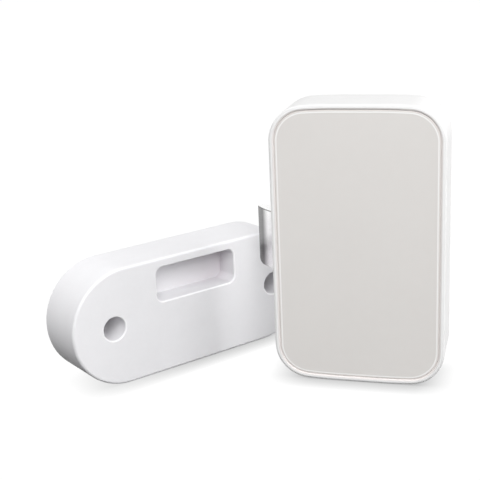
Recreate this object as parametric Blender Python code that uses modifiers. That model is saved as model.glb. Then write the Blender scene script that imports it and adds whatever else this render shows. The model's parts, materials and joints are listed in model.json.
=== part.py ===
"""Smart drawer lock: a battery lock with a sprung latch bolt, and the striker block that takes the bolt.

Both pieces stand on the floor as they are shown off. The lock's casing is 53 mm wide, 88 mm high and
19 mm deep. Its front looks along -Y, its bolt points along -X, and the middle of its foot is the origin.
The casing is sized from the inside: the longest row that it holds, which is an AAA cell with its contacts,
sets the width, and the stack of cells, bolt, motor and circuit board sets the height.

All sizes are in metres.
"""

import math

import bmesh
import bpy

OBJECT_NAME = "smart_drawer_lock"

# Fits
FIT = 0.0003
SCREW_FIT = 0.00015
AXLE_FIT = 0.0001
RUN_CLEARANCE = 0.0012
MESH_CLEARANCE = 0.00005
OVERLAP = 0.0005
CUT_MARGIN = 0.002

# Cells and contacts
CELL_LENGTH = 0.0445
CELL_RADIUS = 0.00525
CELL_SHOULDER = 0.0006
NUB_LENGTH = 0.0010
NUB_RADIUS = 0.0019
CONTACT_PLATE_THICKNESS = 0.0004
CONTACT_PLATE_SIDE = 0.0054
CONTACT_SPRING_LENGTH = 0.0037
CONTACT_SPRING_WIRE = 0.00025
CONTACT_SPRING_WIDE = 0.0032
CONTACT_SPRING_NARROW = 0.0020
CONTACT_SPRING_TURNS = 3

# Casing
SHELL_WALL = 0.0016
CORNER_RADIUS = 0.0110
EDGE_BOW = 0.00125
FOOT_FLAT = 0.0120
SHELL_EDGE_RADIUS = 0.0013
LEDGE_WIDTH = 0.0012
LEDGE_THICKNESS = 0.0012
PANEL_RECESS = 0.0003
PANEL_THICKNESS = 0.0018
PANEL_EDGE_RADIUS = 0.0005
TAB_WIDTH = 0.0060
TAB_THICKNESS = 0.0010
TAB_LENGTH = 0.0024
TAB_SPREAD = 0.0200
BACK_PLATE_THICKNESS = 0.0017
BACK_RECESS = 0.0006
BOSS_RADIUS = 0.0026
BOSS_LENGTH = 0.0027
BOSS_BITE = 0.0006
BACK_PAD_WIDTH = 0.0340
BACK_PAD_HEIGHT = 0.0600
BACK_PAD_THICKNESS = 0.0010
BACK_PAD_RADIUS = 0.0060

# Stack up the height
CELL_CORNER_ROOM = 0.0052
TRAY_WALL = 0.0010
TRAY_WALL_FRONT = 0.0014
LOWER_RAIL_HEIGHT = 0.0022
CARRIAGE_WALL = 0.0016
BOLT_HEIGHT = 0.0190
UPPER_RAIL_HEIGHT = 0.0012
CLAMP_THICKNESS = 0.0007
MOTOR_HEIGHT = 0.0120
BOARD_HEIGHT = 0.0106
BOARD_TOP_ROOM = 0.0044

# Stack through the depth
COVER_ROOM = 0.0013
COVER_THICKNESS = 0.0012
BOLT_THICKNESS = 0.0083
BASE_THICKNESS = 0.0016

# Bolt and carriage
BOLT_PROJECTION = 0.0074
BOLT_TRAVEL = 0.0074
BOLT_TIP_FLAT = 0.0012
BOLT_NOSE_LENGTH = 0.0066
BOLT_SHANK_LENGTH = 0.0190
BOLT_NOSE_BULGE = 0.0004
BOLT_CORNER_RADIUS = 0.0016
BOLT_EDGE_RADIUS = 0.0003
STEM_RADIUS = 0.0016
STEM_TAIL = 0.0005
CLIP_RADIUS = 0.0024
CLIP_THICKNESS = 0.0008
BOLT_SPRING_SPACE = 0.0108
BOLT_SPRING_RADIUS = 0.00235
BOLT_SPRING_WIRE = 0.00022
BOLT_SPRING_TURNS = 5
CARRIAGE_SETBACK = 0.0044
CARRIAGE_END_WALL = 0.0020
RACK_ARM_HEIGHT = 0.0026
RACK_TAIL = 0.0030
RACK_TEETH = 6

# Gears
PRESSURE_ANGLE = math.radians(25)
PINION_TEETH = 10
PINION_MODULE = 0.0008
PINION_ADDENDUM = 0.0006
PINION_DEDENDUM = 0.00076
PINION_BACKLASH = 0.00024
WHEEL_TEETH = 24
WHEEL_MODULE = 0.0006
WHEEL_ADDENDUM = 0.00035
WHEEL_DEDENDUM = 0.0005
WHEEL_BACKLASH = 0.0003
WHEEL_FACE = 0.0024
HUB_RADIUS = 0.0030
AXLE_RADIUS = 0.0010
AXLE_INSET = 0.0001
WORM_PITCH_RADIUS = 0.00235
WORM_CORE_RADIUS = 0.0019
WORM_LENGTH = 0.0110
THREAD_RADIUS = 0.00215
THREAD_WIRE = 0.00042
THREAD_TURNS = 4.5

# Motor
MOTOR_LENGTH = 0.0200
MOTOR_DEPTH = 0.0100
MOTOR_CAP_LENGTH = 0.0016
MOTOR_CAP_STEP = 0.0004
MOTOR_WORM_GAP = 0.0045
SHAFT_RADIUS = 0.00075
SHAFT_ROOT = 0.0018
BEARING_LENGTH = 0.0020
BEARING_WIDTH = 0.0051
BEARING_GAP = 0.0006
BEARING_HEIGHT_OVER_SHAFT = 0.0026
CLAMP_LENGTH = 0.0140

# Mechanism base and cover
BASE_SIDE_ROOM = 0.0005
COVER_SCREW_LEFT = 0.0200
COVER_SCREW_MIDDLE = 0.0020
COVER_POST_EDGE = 0.0029
COVER_POST_RADIUS = 0.0019
COVER_POST_RISE = 0.0084
PEG_RADIUS = 0.0012
PEG_LENGTH = 0.0012
PEG_SPREAD = 0.0240

# Circuit board and what it carries
BOARD_THICKNESS = 0.0010
BOARD_STANDOFF = 0.0010
BOARD_STANDOFF_RADIUS = 0.0017
BOARD_SCREW_EDGE = 0.0019
RADIO_WIDTH = 0.0100
RADIO_HEIGHT = 0.0086
RADIO_THICKNESS = 0.0020
CHIP_SIDE = 0.0040
CHIP_THICKNESS = 0.0009
BUZZER_RADIUS = 0.00425
BUZZER_HEIGHT = 0.0045
BUZZER_HOLE_RADIUS = 0.0008
BUZZER_HOLE_DEPTH = 0.0012
SWITCH_SIDE = 0.0046
SWITCH_HEIGHT = 0.0026
SWITCH_WELL_DEPTH = 0.0016
BUTTON_RADIUS = 0.0011
BUTTON_SINK = 0.0008
BUTTON_STANDS_OUT = 0.0068
BUTTON_FIT = 0.0004
COMPONENT_EDGE_RADIUS = 0.0003

# Leads
LEAD_RADIUS = 0.00035
LEAD_WALL_GAP = 0.00015
LEAD_GAP = 0.0002
LEAD_RISE = 0.0040
LEAD_LEAN = 0.0008
LEAD_SPREAD = 0.0020
LEAD_STUB = 0.0015
MOTOR_LEAD_WIDE = 0.0045
MOTOR_LEAD_NEAR = 0.00225
SOLDER_INSET = 0.00145
LEAD_APPROACH = 0.0022
LEAD_KNEE_OUT = 0.0030
LEAD_KNEE_DROP = 0.0024
LEAD_KNEE_DEPTH = 0.0026

# Screws
BACK_SCREW_HEAD_RADIUS = 0.0018
BACK_SCREW_HEAD_HEIGHT = 0.0010
BACK_SCREW_RADIUS = 0.0009
BACK_SCREW_LENGTH = 0.0036
COVER_SCREW_HEAD_RADIUS = 0.0011
COVER_SCREW_HEAD_HEIGHT = 0.0008
COVER_SCREW_RADIUS = 0.0006
COVER_SCREW_LENGTH = 0.0050
BOARD_SCREW_HEAD_RADIUS = 0.0013
BOARD_SCREW_HEAD_HEIGHT = 0.0009
BOARD_SCREW_RADIUS = 0.0007
BOARD_SCREW_LENGTH = 0.0022
SCREW_POINT = 0.0005
SCREW_HEAD_ROUNDING = 0.0003
DRIVE_SLOT_WIDTH = 0.0004
DRIVE_SLOT_DEPTH = 0.0005

# Striker
STRIKER_LENGTH = 0.0930
STRIKER_HEIGHT = 0.0388
STRIKER_DEPTH = 0.0187
STRIKER_WALL = 0.0022
STRIKER_EDGE_RADIUS = 0.0009
STRIKER_AHEAD = 0.00937
STRIKER_ASIDE = 0.05464
STRIKER_TURN = math.radians(51.7)
SLOT_WIDTH = 0.0307
SLOT_HEIGHT = 0.01165
SLOT_DEPTH = 0.0085
SLOT_BOTTOM = 0.0241
SLOT_RADIUS = 0.0024
SLOT_WALL = 0.0018
HOLE_SPACING = 0.0634
HOLE_CENTRE_HEIGHT = 0.0195
COUNTERBORE_RADIUS = 0.0039
COUNTERBORE_FLOOR = 0.0030
SCREW_HOLE_RADIUS = 0.0021
STRIKER_PAD_INSET = 0.0020
STRIKER_PAD_THICKNESS = 0.0008
STRIKER_PAD_HOLE_RADIUS = 0.0028

# Smoothness of round shapes
ROUND_STEPS = 24
FINE_STEPS = 32
CORNER_STEPS = 8
BOW_STEPS = 3
END_STEPS = 20
COIL_STEPS = 10
FLANK_STEPS = 3
SCREW_STEPS = 16
SLOT_STEPS = 4
NOSE_STEPS = 6
TUBE_RESOLUTION = 1
LEAD_STEPS = 4
SMOOTH_ANGLE = math.radians(35)
SHARP_ANGLE = math.radians(40)
WELD_DISTANCE = 1e-6
FLAT_ANGLE = 1e-3

# Radii of the gears
PINION_RADIUS = PINION_MODULE * PINION_TEETH / 2
WHEEL_RADIUS = WHEEL_MODULE * WHEEL_TEETH / 2
WHEEL_TIP_RADIUS = WHEEL_RADIUS + WHEEL_ADDENDUM

# Widths: the casing takes the longest of the three rows that lie across it
CELL_ROW = CELL_LENGTH + CONTACT_PLATE_THICKNESS + CONTACT_SPRING_LENGTH + 4 * FIT
BOLT_ROOM = BOLT_SHANK_LENGTH - BOLT_PROJECTION - SHELL_WALL + BOLT_SPRING_SPACE + CARRIAGE_END_WALL
WHEEL_ROOM = BOLT_TRAVEL + WHEEL_TIP_RADIUS + RUN_CLEARANCE
DRIVE_ROW = BOLT_ROOM + WHEEL_ROOM + RACK_TAIL + BOLT_TRAVEL + FIT
BOARD_PARTS = RADIO_WIDTH + CHIP_SIDE + 2 * BUZZER_RADIUS + SWITCH_SIDE
BOARD_GAPS = 5
BOARD_FIXING = BOARD_SCREW_EDGE + BOARD_SCREW_HEAD_RADIUS + BOSS_RADIUS + FIT
BOSS_REACH = CORNER_RADIUS - SHELL_WALL + BOSS_BITE - BOSS_RADIUS
BOSS_SIDE = CORNER_RADIUS - BOSS_REACH * math.sqrt(0.5)
BOARD_ROW = BOARD_PARTS + BOARD_GAPS * FIT + 2 * (BOARD_FIXING + BOSS_SIDE - SHELL_WALL)
INNER_WIDTH = max(CELL_ROW, DRIVE_ROW, BOARD_ROW)
LOCK_WIDTH = INNER_WIDTH + 2 * SHELL_WALL
HALF_WIDTH = LOCK_WIDTH / 2
INNER_HALF = INNER_WIDTH / 2

# Depths, from the front of the casing backwards
PANEL_BACK = PANEL_RECESS + PANEL_THICKNESS
LEDGE_FRONT = PANEL_BACK + FIT
LEDGE_BACK = LEDGE_FRONT + LEDGE_THICKNESS
COVER_FRONT = LEDGE_BACK + COVER_ROOM
COVER_BACK = COVER_FRONT + COVER_THICKNESS
BOLT_FRONT = COVER_BACK + FIT
BOLT_BACK = BOLT_FRONT + BOLT_THICKNESS
BASE_FRONT = BOLT_BACK + FIT
BASE_BACK = BASE_FRONT + BASE_THICKNESS
PLATE_FRONT = BASE_BACK + FIT
PLATE_BACK = PLATE_FRONT + BACK_PLATE_THICKNESS
SHELL_DEPTH = PLATE_BACK + BACK_RECESS
CELL_Y = LEDGE_BACK + FIT + CELL_RADIUS
BOLT_Y = BOLT_FRONT + BOLT_THICKNESS / 2
MOTOR_Y = BASE_FRONT - FIT - MOTOR_DEPTH / 2
WHEEL_FRONT = MOTOR_Y - WHEEL_FACE / 2
WHEEL_BACK = MOTOR_Y + WHEEL_FACE / 2
RACK_FRONT = WHEEL_BACK + FIT
BOARD_BACK = PLATE_FRONT - BOARD_STANDOFF - FIT
BOARD_FRONT = BOARD_BACK - BOARD_THICKNESS
PART_FACE = BOARD_FRONT - FIT

# Heights, from the floor upwards
LOWER_CELL_Z = SHELL_WALL + CELL_CORNER_ROOM + CELL_RADIUS
UPPER_CELL_Z = LOWER_CELL_Z + 2 * CELL_RADIUS + FIT
TRAY_WALL_BOTTOM = UPPER_CELL_Z + CELL_RADIUS + FIT
TRAY_TOP = TRAY_WALL_BOTTOM + TRAY_WALL
BASE_BOTTOM = TRAY_TOP + FIT
LOWER_RAIL_TOP = BASE_BOTTOM + LOWER_RAIL_HEIGHT
CARRIAGE_BOTTOM = LOWER_RAIL_TOP + FIT
BOLT_BOTTOM = CARRIAGE_BOTTOM + CARRIAGE_WALL + FIT
BOLT_Z = BOLT_BOTTOM + BOLT_HEIGHT / 2
BOLT_TOP = BOLT_BOTTOM + BOLT_HEIGHT
CARRIAGE_TOP = BOLT_TOP + FIT + CARRIAGE_WALL
UPPER_RAIL_BOTTOM = CARRIAGE_TOP + FIT
UPPER_RAIL_TOP = UPPER_RAIL_BOTTOM + UPPER_RAIL_HEIGHT
CLAMP_BOTTOM = UPPER_RAIL_TOP + FIT
MOTOR_BOTTOM = CLAMP_BOTTOM + CLAMP_THICKNESS + FIT
MOTOR_Z = MOTOR_BOTTOM + MOTOR_HEIGHT / 2
CLAMP_TOP = MOTOR_BOTTOM + MOTOR_HEIGHT + FIT + CLAMP_THICKNESS
BASE_TOP = CLAMP_TOP + FIT
BOARD_BOTTOM = BASE_TOP + FIT
BOARD_Z = BOARD_BOTTOM + BOARD_HEIGHT / 2
LOCK_HEIGHT = BOARD_BOTTOM + BOARD_HEIGHT + BOARD_TOP_ROOM + SHELL_WALL

# Places along the width, from the bolt's tip to the right
BOLT_TIP_X = -HALF_WIDTH - BOLT_PROJECTION
BOLT_SHOULDER_X = BOLT_TIP_X + BOLT_SHANK_LENGTH
CARRIAGE_MOUTH_X = -INNER_HALF + CARRIAGE_SETBACK
END_WALL_FRONT_X = BOLT_SHOULDER_X + BOLT_SPRING_SPACE
END_WALL_BACK_X = END_WALL_FRONT_X + CARRIAGE_END_WALL
CLIP_X = END_WALL_BACK_X + FIT
STEM_END_X = CLIP_X + CLIP_THICKNESS + STEM_TAIL
WHEEL_X = END_WALL_BACK_X + BOLT_TRAVEL + WHEEL_TIP_RADIUS + RUN_CLEARANCE
WHEEL_Z = MOTOR_Z - WHEEL_RADIUS - WORM_PITCH_RADIUS - MESH_CLEARANCE
RACK_PITCH_Z = WHEEL_Z - PINION_RADIUS
RACK_END_X = WHEEL_X + RACK_TAIL
UPPER_RAIL_END_X = WHEEL_X - WHEEL_TIP_RADIUS - RUN_CLEARANCE
WORM_LEFT_X = WHEEL_X - WORM_LENGTH / 2
WORM_RIGHT_X = WHEEL_X + WORM_LENGTH / 2
MOTOR_FACE_X = WORM_LEFT_X - MOTOR_WORM_GAP
MOTOR_REAR_X = MOTOR_FACE_X - MOTOR_LENGTH
BEARING_X = WORM_RIGHT_X + BEARING_GAP
BASE_HALF = INNER_HALF - BASE_SIDE_ROOM
COVER_POST_X = BASE_HALF - COVER_POST_EDGE
COVER_POST_Z = LOWER_RAIL_TOP + COVER_POST_RISE
COVER_SCREW_Z = BASE_BOTTOM + LOWER_RAIL_HEIGHT / 2

# Corner arcs of the casing's outline
BOW_SPAN = HALF_WIDTH - FOOT_FLAT / 2
BOW_RADIUS = (BOW_SPAN**2 + EDGE_BOW**2) / (2 * EDGE_BOW)
CORNER_X = HALF_WIDTH - CORNER_RADIUS
BOW_ANGLE = math.asin((CORNER_X - FOOT_FLAT / 2) / (BOW_RADIUS - CORNER_RADIUS))
CORNER_DROP = BOW_RADIUS - (BOW_RADIUS - CORNER_RADIUS) * math.cos(BOW_ANGLE)
CORNER_Z = LOCK_HEIGHT - CORNER_DROP
BOSS_X = HALF_WIDTH - BOSS_SIDE
BOSS_DROP = CORNER_DROP - BOSS_REACH * math.sqrt(0.5)
BOARD_HALF = BOSS_X - BOSS_RADIUS - FIT
BOARD_SCREW_X = BOARD_HALF - BOARD_SCREW_EDGE
BOARD_PART_GAP = (2 * (BOARD_SCREW_X - BOARD_SCREW_HEAD_RADIUS) - BOARD_PARTS) / BOARD_GAPS

# Turns that lay a flat outline or a rod along an axis
ALONG_Y = (math.pi / 2, 0, 0)
FACING_BACK = (-math.pi / 2, 0, 0)
ALONG_X = (math.pi / 2, 0, math.pi / 2)
ROD_ALONG_X = (0, math.pi / 2, 0)

WHITE_SHELL = ((0.83, 0.83, 0.83), 0.35, 0.0)
GREY_PANEL = ((0.69, 0.67, 0.64), 0.45, 0.0)
WHITE_STRIKER = ((0.80, 0.80, 0.82), 0.35, 0.0)
POLISHED_ZINC = ((0.72, 0.73, 0.75), 0.18, 1.0)
GREY_NYLON = ((0.55, 0.56, 0.57), 0.5, 0.0)
BLACK_NYLON = ((0.05, 0.05, 0.055), 0.5, 0.0)
ACETAL = ((0.85, 0.84, 0.80), 0.4, 0.0)
STEEL = ((0.60, 0.61, 0.62), 0.3, 1.0)
NICKEL = ((0.70, 0.68, 0.62), 0.25, 1.0)
BRASS = ((0.72, 0.55, 0.25), 0.3, 1.0)
GREEN_BOARD = ((0.03, 0.20, 0.09), 0.45, 0.0)
BLACK_CASE = ((0.03, 0.03, 0.03), 0.4, 0.0)
CELL_JACKET = ((0.16, 0.17, 0.19), 0.3, 0.0)
FOAM = ((0.75, 0.75, 0.74), 0.9, 0.0)
RED_LEAD = ((0.45, 0.03, 0.03), 0.5, 0.0)
BLACK_LEAD = ((0.03, 0.03, 0.03), 0.5, 0.0)


def clear_scene():
    for obj in list(bpy.data.objects):
        bpy.data.objects.remove(obj, do_unlink=True)


def make_collection(name):
    collection = bpy.data.collections.new(name)
    bpy.context.scene.collection.children.link(collection)
    return collection


def make_material(name, finish):
    colour, roughness, metallic = finish
    material = bpy.data.materials.new(name)
    material.use_nodes = True
    shader = material.node_tree.nodes["Principled BSDF"]
    shader.inputs["Base Color"].default_value = (*colour, 1.0)
    shader.inputs["Roughness"].default_value = roughness
    shader.inputs["Metallic"].default_value = metallic
    return material


class Workshop:
    """Puts pieces under one frame, with their cutters in a collection of their own."""

    def __init__(self, parts, cutters):
        self.parts = parts
        self.cutters = cutters
        self.frame = None

    def open_frame(self, name, location, turn=0.0):
        self.frame = bpy.data.objects.new(name, None)
        self.frame.location = location
        self.frame.rotation_euler = (0, 0, turn)
        self.parts.objects.link(self.frame)

    def piece(self, name, mesh, finish, location, turn=(0, 0, 0)):
        obj = bpy.data.objects.new(name, mesh)
        obj.location = location
        obj.rotation_euler = turn
        obj.parent = self.frame
        self.parts.objects.link(obj)
        if not mesh.materials:
            mesh.materials.append(make_material(name + "_finish", finish))
        mesh.shade_smooth()
        mesh.set_sharp_from_angle(angle=SMOOTH_ANGLE)
        return obj

    def tool(self, name, mesh, location, turn=(0, 0, 0)):
        obj = bpy.data.objects.new(name, mesh)
        obj.location = location
        obj.rotation_euler = turn
        obj.parent = self.frame
        obj.hide_render = True
        obj.display_type = "WIRE"
        self.cutters.objects.link(obj)
        return obj

    def cut(self, obj, mesh, location, turn=(0, 0, 0)):
        self.combine(obj, self.tool(obj.name + "_cut", mesh, location, turn), "DIFFERENCE")

    def join(self, obj, mesh, location, turn=(0, 0, 0)):
        self.combine(obj, self.tool(obj.name + "_add", mesh, location, turn), "UNION")

    @staticmethod
    def combine(obj, other, operation):
        modifier = obj.modifiers.new(other.name, "BOOLEAN")
        modifier.operation = operation
        modifier.object = other


def soften(obj, width, segments=2):
    modifier = obj.modifiers.new("soft_edges", "BEVEL")
    modifier.width = width
    modifier.segments = segments
    modifier.limit_method = "ANGLE"
    modifier.angle_limit = SHARP_ANGLE


def evaluated_mesh(name, data, prepare=None):
    """The mesh that a curve or a mesh with modifiers evaluates to, closed and facing out."""
    guide = bpy.data.objects.new(name + "_guide", data)
    bpy.context.scene.collection.objects.link(guide)
    if prepare:
        prepare(guide)
    graph = bpy.context.evaluated_depsgraph_get()
    mesh = bpy.data.meshes.new_from_object(guide.evaluated_get(graph))
    bpy.data.objects.remove(guide)
    mesh.name = name
    shape = bmesh.new()
    shape.from_mesh(mesh)
    bmesh.ops.remove_doubles(shape, verts=shape.verts, dist=WELD_DISTANCE)
    bmesh.ops.dissolve_limit(shape, angle_limit=FLAT_ANGLE, verts=[], edges=shape.edges)
    bmesh.ops.recalc_face_normals(shape, faces=shape.faces)
    shape.to_mesh(mesh)
    shape.free()
    return mesh


def flat_mesh(name, outline, thickness):
    """A flat outline in XY, thickened evenly about its plane."""
    curve = bpy.data.curves.new(name, "CURVE")
    curve.dimensions = "2D"
    curve.fill_mode = "BOTH"
    curve.extrude = thickness / 2
    spline = curve.splines.new("POLY")
    spline.points.add(len(outline) - 1)
    spline.use_cyclic_u = True
    for point, (u, v) in zip(spline.points, outline):
        point.co = (u, v, 0, 1)
    return evaluated_mesh(name, curve)


def tube_mesh(name, path, radius):
    curve = bpy.data.curves.new(name, "CURVE")
    curve.dimensions = "3D"
    curve.bevel_depth = radius
    curve.bevel_resolution = TUBE_RESOLUTION
    curve.use_fill_caps = True
    spline = curve.splines.new("POLY")
    spline.points.add(len(path) - 1)
    for point, place in zip(spline.points, path):
        point.co = (*place, 1)
    return evaluated_mesh(name, curve)


def turned_mesh(name, profile, steps=ROUND_STEPS):
    """A profile of (radius, height) points turned about Z."""
    mesh = bpy.data.meshes.new(name)
    shape = bmesh.new()
    points = [shape.verts.new((radius, 0, height)) for radius, height in profile]
    for first, second in zip(points, points[1:]):
        shape.edges.new((first, second))
    shape.to_mesh(mesh)
    shape.free()

    def add_screw(guide):
        screw = guide.modifiers.new("turn", "SCREW")
        screw.steps = steps
        screw.render_steps = steps
        screw.use_merge_vertices = True
        screw.merge_threshold = WELD_DISTANCE

    return evaluated_mesh(name, mesh, add_screw)


def box_mesh(name, width, depth, height):
    mesh = bpy.data.meshes.new(name)
    shape = bmesh.new()
    bmesh.ops.create_cube(shape, size=1)
    bmesh.ops.scale(shape, vec=(width, depth, height), verts=shape.verts)
    shape.to_mesh(mesh)
    shape.free()
    return mesh


def rod_mesh(name, radius, length, steps=ROUND_STEPS):
    """A round rod about Z, with its middle at its origin."""
    mesh = bpy.data.meshes.new(name)
    shape = bmesh.new()
    bmesh.ops.create_cone(
        shape, cap_ends=True, segments=steps, radius1=radius, radius2=radius, depth=length
    )
    shape.to_mesh(mesh)
    shape.free()
    return mesh


def arc(centre, radius, start, end, steps):
    """Points along an arc, both ends included."""
    turns = [start + (end - start) * i / steps for i in range(steps + 1)]
    return [(centre[0] + radius * math.cos(a), centre[1] + radius * math.sin(a)) for a in turns]


def casing_outline(inset):
    """The casing's front outline, drawn in by inset: straight sides, bowed ends and round corners."""
    bow_centre = LOCK_HEIGHT - BOW_RADIUS
    corner_start = math.pi / 2 - BOW_ANGLE
    quarter = arc((CORNER_X, CORNER_Z), CORNER_RADIUS - inset, 0, corner_start, CORNER_STEPS)
    bow = arc((FOOT_FLAT / 2, bow_centre), BOW_RADIUS - inset, corner_start, math.pi / 2, BOW_STEPS)
    quarter += bow[1:]
    top = quarter + [(-u, v) for u, v in reversed(quarter)]
    return top + [(u, LOCK_HEIGHT - v) for u, v in reversed(top)]


def round_rectangle(width, height, radius, steps=CORNER_STEPS):
    points = []
    for quarter, (side, rise) in enumerate(((1, 1), (-1, 1), (-1, -1), (1, -1))):
        centre = (side * (width / 2 - radius), rise * (height / 2 - radius))
        points += arc(centre, radius, quarter * math.pi / 2, (quarter + 1) * math.pi / 2, steps)
    return points


def stadium(length, height):
    """A pill outline centred on its middle."""
    radius = height / 2
    right = arc((length / 2 - radius, 0), radius, -math.pi / 2, math.pi / 2, END_STEPS)
    return right + [(-u, -v) for u, v in right]


def flattened_round(radius, half_flat):
    """A circle cut flat at both sides of u, as a small motor's can is."""
    limit = math.acos(half_flat / radius)
    upper = arc((0, 0), radius, limit, math.pi - limit, ROUND_STEPS // 2)
    return upper + [(-u, -v) for u, v in upper]


def gear_outline(teeth, module, addendum, dedendum, backlash, first_tooth):
    """An involute gear; first_tooth is the angle of one tooth's middle."""
    pitch_radius = module * teeth / 2
    base_radius = pitch_radius * math.cos(PRESSURE_ANGLE)
    tip_radius = pitch_radius + addendum
    root_radius = pitch_radius - dedendum
    half_at_pitch = math.pi / (2 * teeth) - backlash / (2 * pitch_radius)

    def involute(angle):
        return math.tan(angle) - angle

    def half_angle(radius):
        lean = math.acos(min(1.0, base_radius / radius))
        return half_at_pitch + involute(PRESSURE_ANGLE) - involute(lean)

    low = max(root_radius, base_radius)
    radii = [low + (tip_radius - low) * i / FLANK_STEPS for i in range(FLANK_STEPS + 1)]
    if root_radius < low:
        radii.insert(0, root_radius)
    flank = [(radius, half_angle(radius)) for radius in radii]
    points = []
    for tooth in range(teeth):
        middle = first_tooth + 2 * math.pi * tooth / teeth
        sides = [(r, middle - h) for r, h in flank] + [(r, middle + h) for r, h in reversed(flank)]
        points += [(r * math.cos(a), r * math.sin(a)) for r, a in sides]
    return points


def rack_outline(start_x):
    """The carriage's arm with its teeth upwards; at rest a gap lies under the pinion's lowest tooth."""
    pitch = math.pi * PINION_MODULE
    half_at_pitch = pitch / 4 - PINION_BACKLASH / 2
    lean = math.tan(PRESSURE_ANGLE)
    tip_z = RACK_PITCH_Z + PINION_ADDENDUM
    root_z = RACK_PITCH_Z - PINION_DEDENDUM
    half_tip = half_at_pitch - PINION_ADDENDUM * lean
    half_root = half_at_pitch + PINION_DEDENDUM * lean
    bottom = root_z - RACK_ARM_HEIGHT
    points = [(start_x, bottom), (RACK_END_X, bottom), (RACK_END_X, root_z)]
    for tooth in range(RACK_TEETH):
        x = WHEEL_X + pitch * (0.5 - tooth)
        points += [(x + half_root, root_z), (x + half_tip, tip_z)]
        points += [(x - half_tip, tip_z), (x - half_root, root_z)]
    return points + [(start_x, root_z)]


def twist_mesh(mesh, per_metre):
    """Turns each level of a flat mesh about Z, so that its teeth lean."""
    for vertex in mesh.vertices:
        turn = per_metre * vertex.co.z
        u, v = vertex.co.x, vertex.co.y
        vertex.co.x = u * math.cos(turn) - v * math.sin(turn)
        vertex.co.y = u * math.sin(turn) + v * math.cos(turn)


def coil_path(start_x, end_x, start_radius, end_radius, turns, first_angle=0.0):
    """A helix along X, right-handed, whose radius runs evenly from one end to the other."""
    steps = round(turns * COIL_STEPS)
    path = []
    for step in range(steps + 1):
        share = step / steps
        radius = start_radius + (end_radius - start_radius) * share
        angle = first_angle + 2 * math.pi * turns * share
        x = start_x + (end_x - start_x) * share
        path.append((x, radius * math.cos(angle), radius * math.sin(angle)))
    return path


def smooth_path(corners):
    """A smooth curve through a few points, ends included."""
    path = [corners[0]]
    padded = [corners[0], *corners, corners[-1]]
    for stretch in zip(padded, padded[1:], padded[2:], padded[3:]):
        for step in range(1, LEAD_STEPS + 1):
            path.append(tuple(along_curve(step / LEAD_STEPS, *values) for values in zip(*stretch)))
    return path


def along_curve(share, before, start, end, after):
    """One coordinate of a smooth curve, at this share of the way from start to end."""
    pull = end - before
    bend = 2 * before - 5 * start + 4 * end - after
    swing = 3 * start - before - 3 * end + after
    return start + (pull * share + bend * share**2 + swing * share**3) / 2


def report_coil_gap(name, path, wire):
    """Prints the least gap between a coil's turns, measured between points at least half a turn apart."""
    least = min(
        math.dist(path[i], path[j])
        for i in range(len(path))
        for j in range(i + COIL_STEPS // 2, len(path))
    )
    print(f"{name}: least gap to itself {1000 * (least - 2 * wire):.2f} mm")


def screw_mesh(name, head_radius, head_height, shank_radius, length):
    """A cross-slotted screw, head up: its origin is under the head and its shank runs down."""
    profile = [
        (0, head_height),
        (head_radius - SCREW_HEAD_ROUNDING, head_height),
        (head_radius, head_height - SCREW_HEAD_ROUNDING),
        (head_radius, 0),
        (shank_radius, 0),
        (shank_radius, SCREW_POINT - length),
        (0, -length),
    ]
    slot_length = 2 * (head_radius - SCREW_HEAD_ROUNDING - DRIVE_SLOT_WIDTH)
    slot_mesh = box_mesh(name, slot_length, DRIVE_SLOT_WIDTH, 2 * DRIVE_SLOT_DEPTH)
    slots = []
    for turn in range(2):
        slot = bpy.data.objects.new(name + "_slot", slot_mesh)
        slot.location = (0, 0, head_height)
        slot.rotation_euler = (0, 0, turn * math.pi / 2)
        bpy.context.scene.collection.objects.link(slot)
        slots.append(slot)

    def cut_slots(guide):
        for slot in slots:
            Workshop.combine(guide, slot, "DIFFERENCE")

    mesh = evaluated_mesh(name, turned_mesh(name, profile, SCREW_STEPS), cut_slots)
    for slot in slots:
        bpy.data.objects.remove(slot)
    return mesh


def span(low, high):
    """The length and the middle of a stretch."""
    return high - low, (low + high) / 2


def add_casing(shop):
    depth, middle = span(0, SHELL_DEPTH)
    housing = shop.piece(
        "housing", flat_mesh("housing", casing_outline(0), depth), WHITE_SHELL, (0, middle, 0), ALONG_Y
    )
    soften(housing, SHELL_EDGE_RADIUS, 3)
    pockets = (
        (SHELL_WALL, -CUT_MARGIN, LEDGE_FRONT),
        (SHELL_WALL + LEDGE_WIDTH, 0, SHELL_DEPTH),
        (SHELL_WALL, LEDGE_BACK, SHELL_DEPTH + CUT_MARGIN),
    )
    for inset, front, back in pockets:
        depth, middle = span(front, back)
        shop.cut(housing, flat_mesh("pocket", casing_outline(inset), depth), (0, middle, 0), ALONG_Y)
    window_depth = BOLT_THICKNESS + 2 * FIT
    window_height = BOLT_HEIGHT + 2 * FIT
    window = box_mesh("bolt_window", SHELL_WALL + 2 * CUT_MARGIN, window_depth, window_height)
    shop.cut(housing, window, (-HALF_WIDTH + SHELL_WALL / 2, BOLT_Y, BOLT_Z))
    boss = rod_mesh("boss", BOSS_RADIUS, BOSS_LENGTH)
    pilot = rod_mesh("pilot", BACK_SCREW_RADIUS + SCREW_FIT, BOSS_LENGTH + 2 * CUT_MARGIN)
    boss_y = PLATE_FRONT - FIT - BOSS_LENGTH / 2
    for x, z in boss_places():
        shop.join(housing, boss, (x, boss_y, z), ALONG_Y)
        shop.cut(housing, pilot, (x, boss_y, z), ALONG_Y)


def boss_places():
    return [(side * BOSS_X, z) for side in (-1, 1) for z in (BOSS_DROP, LOCK_HEIGHT - BOSS_DROP)]


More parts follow.
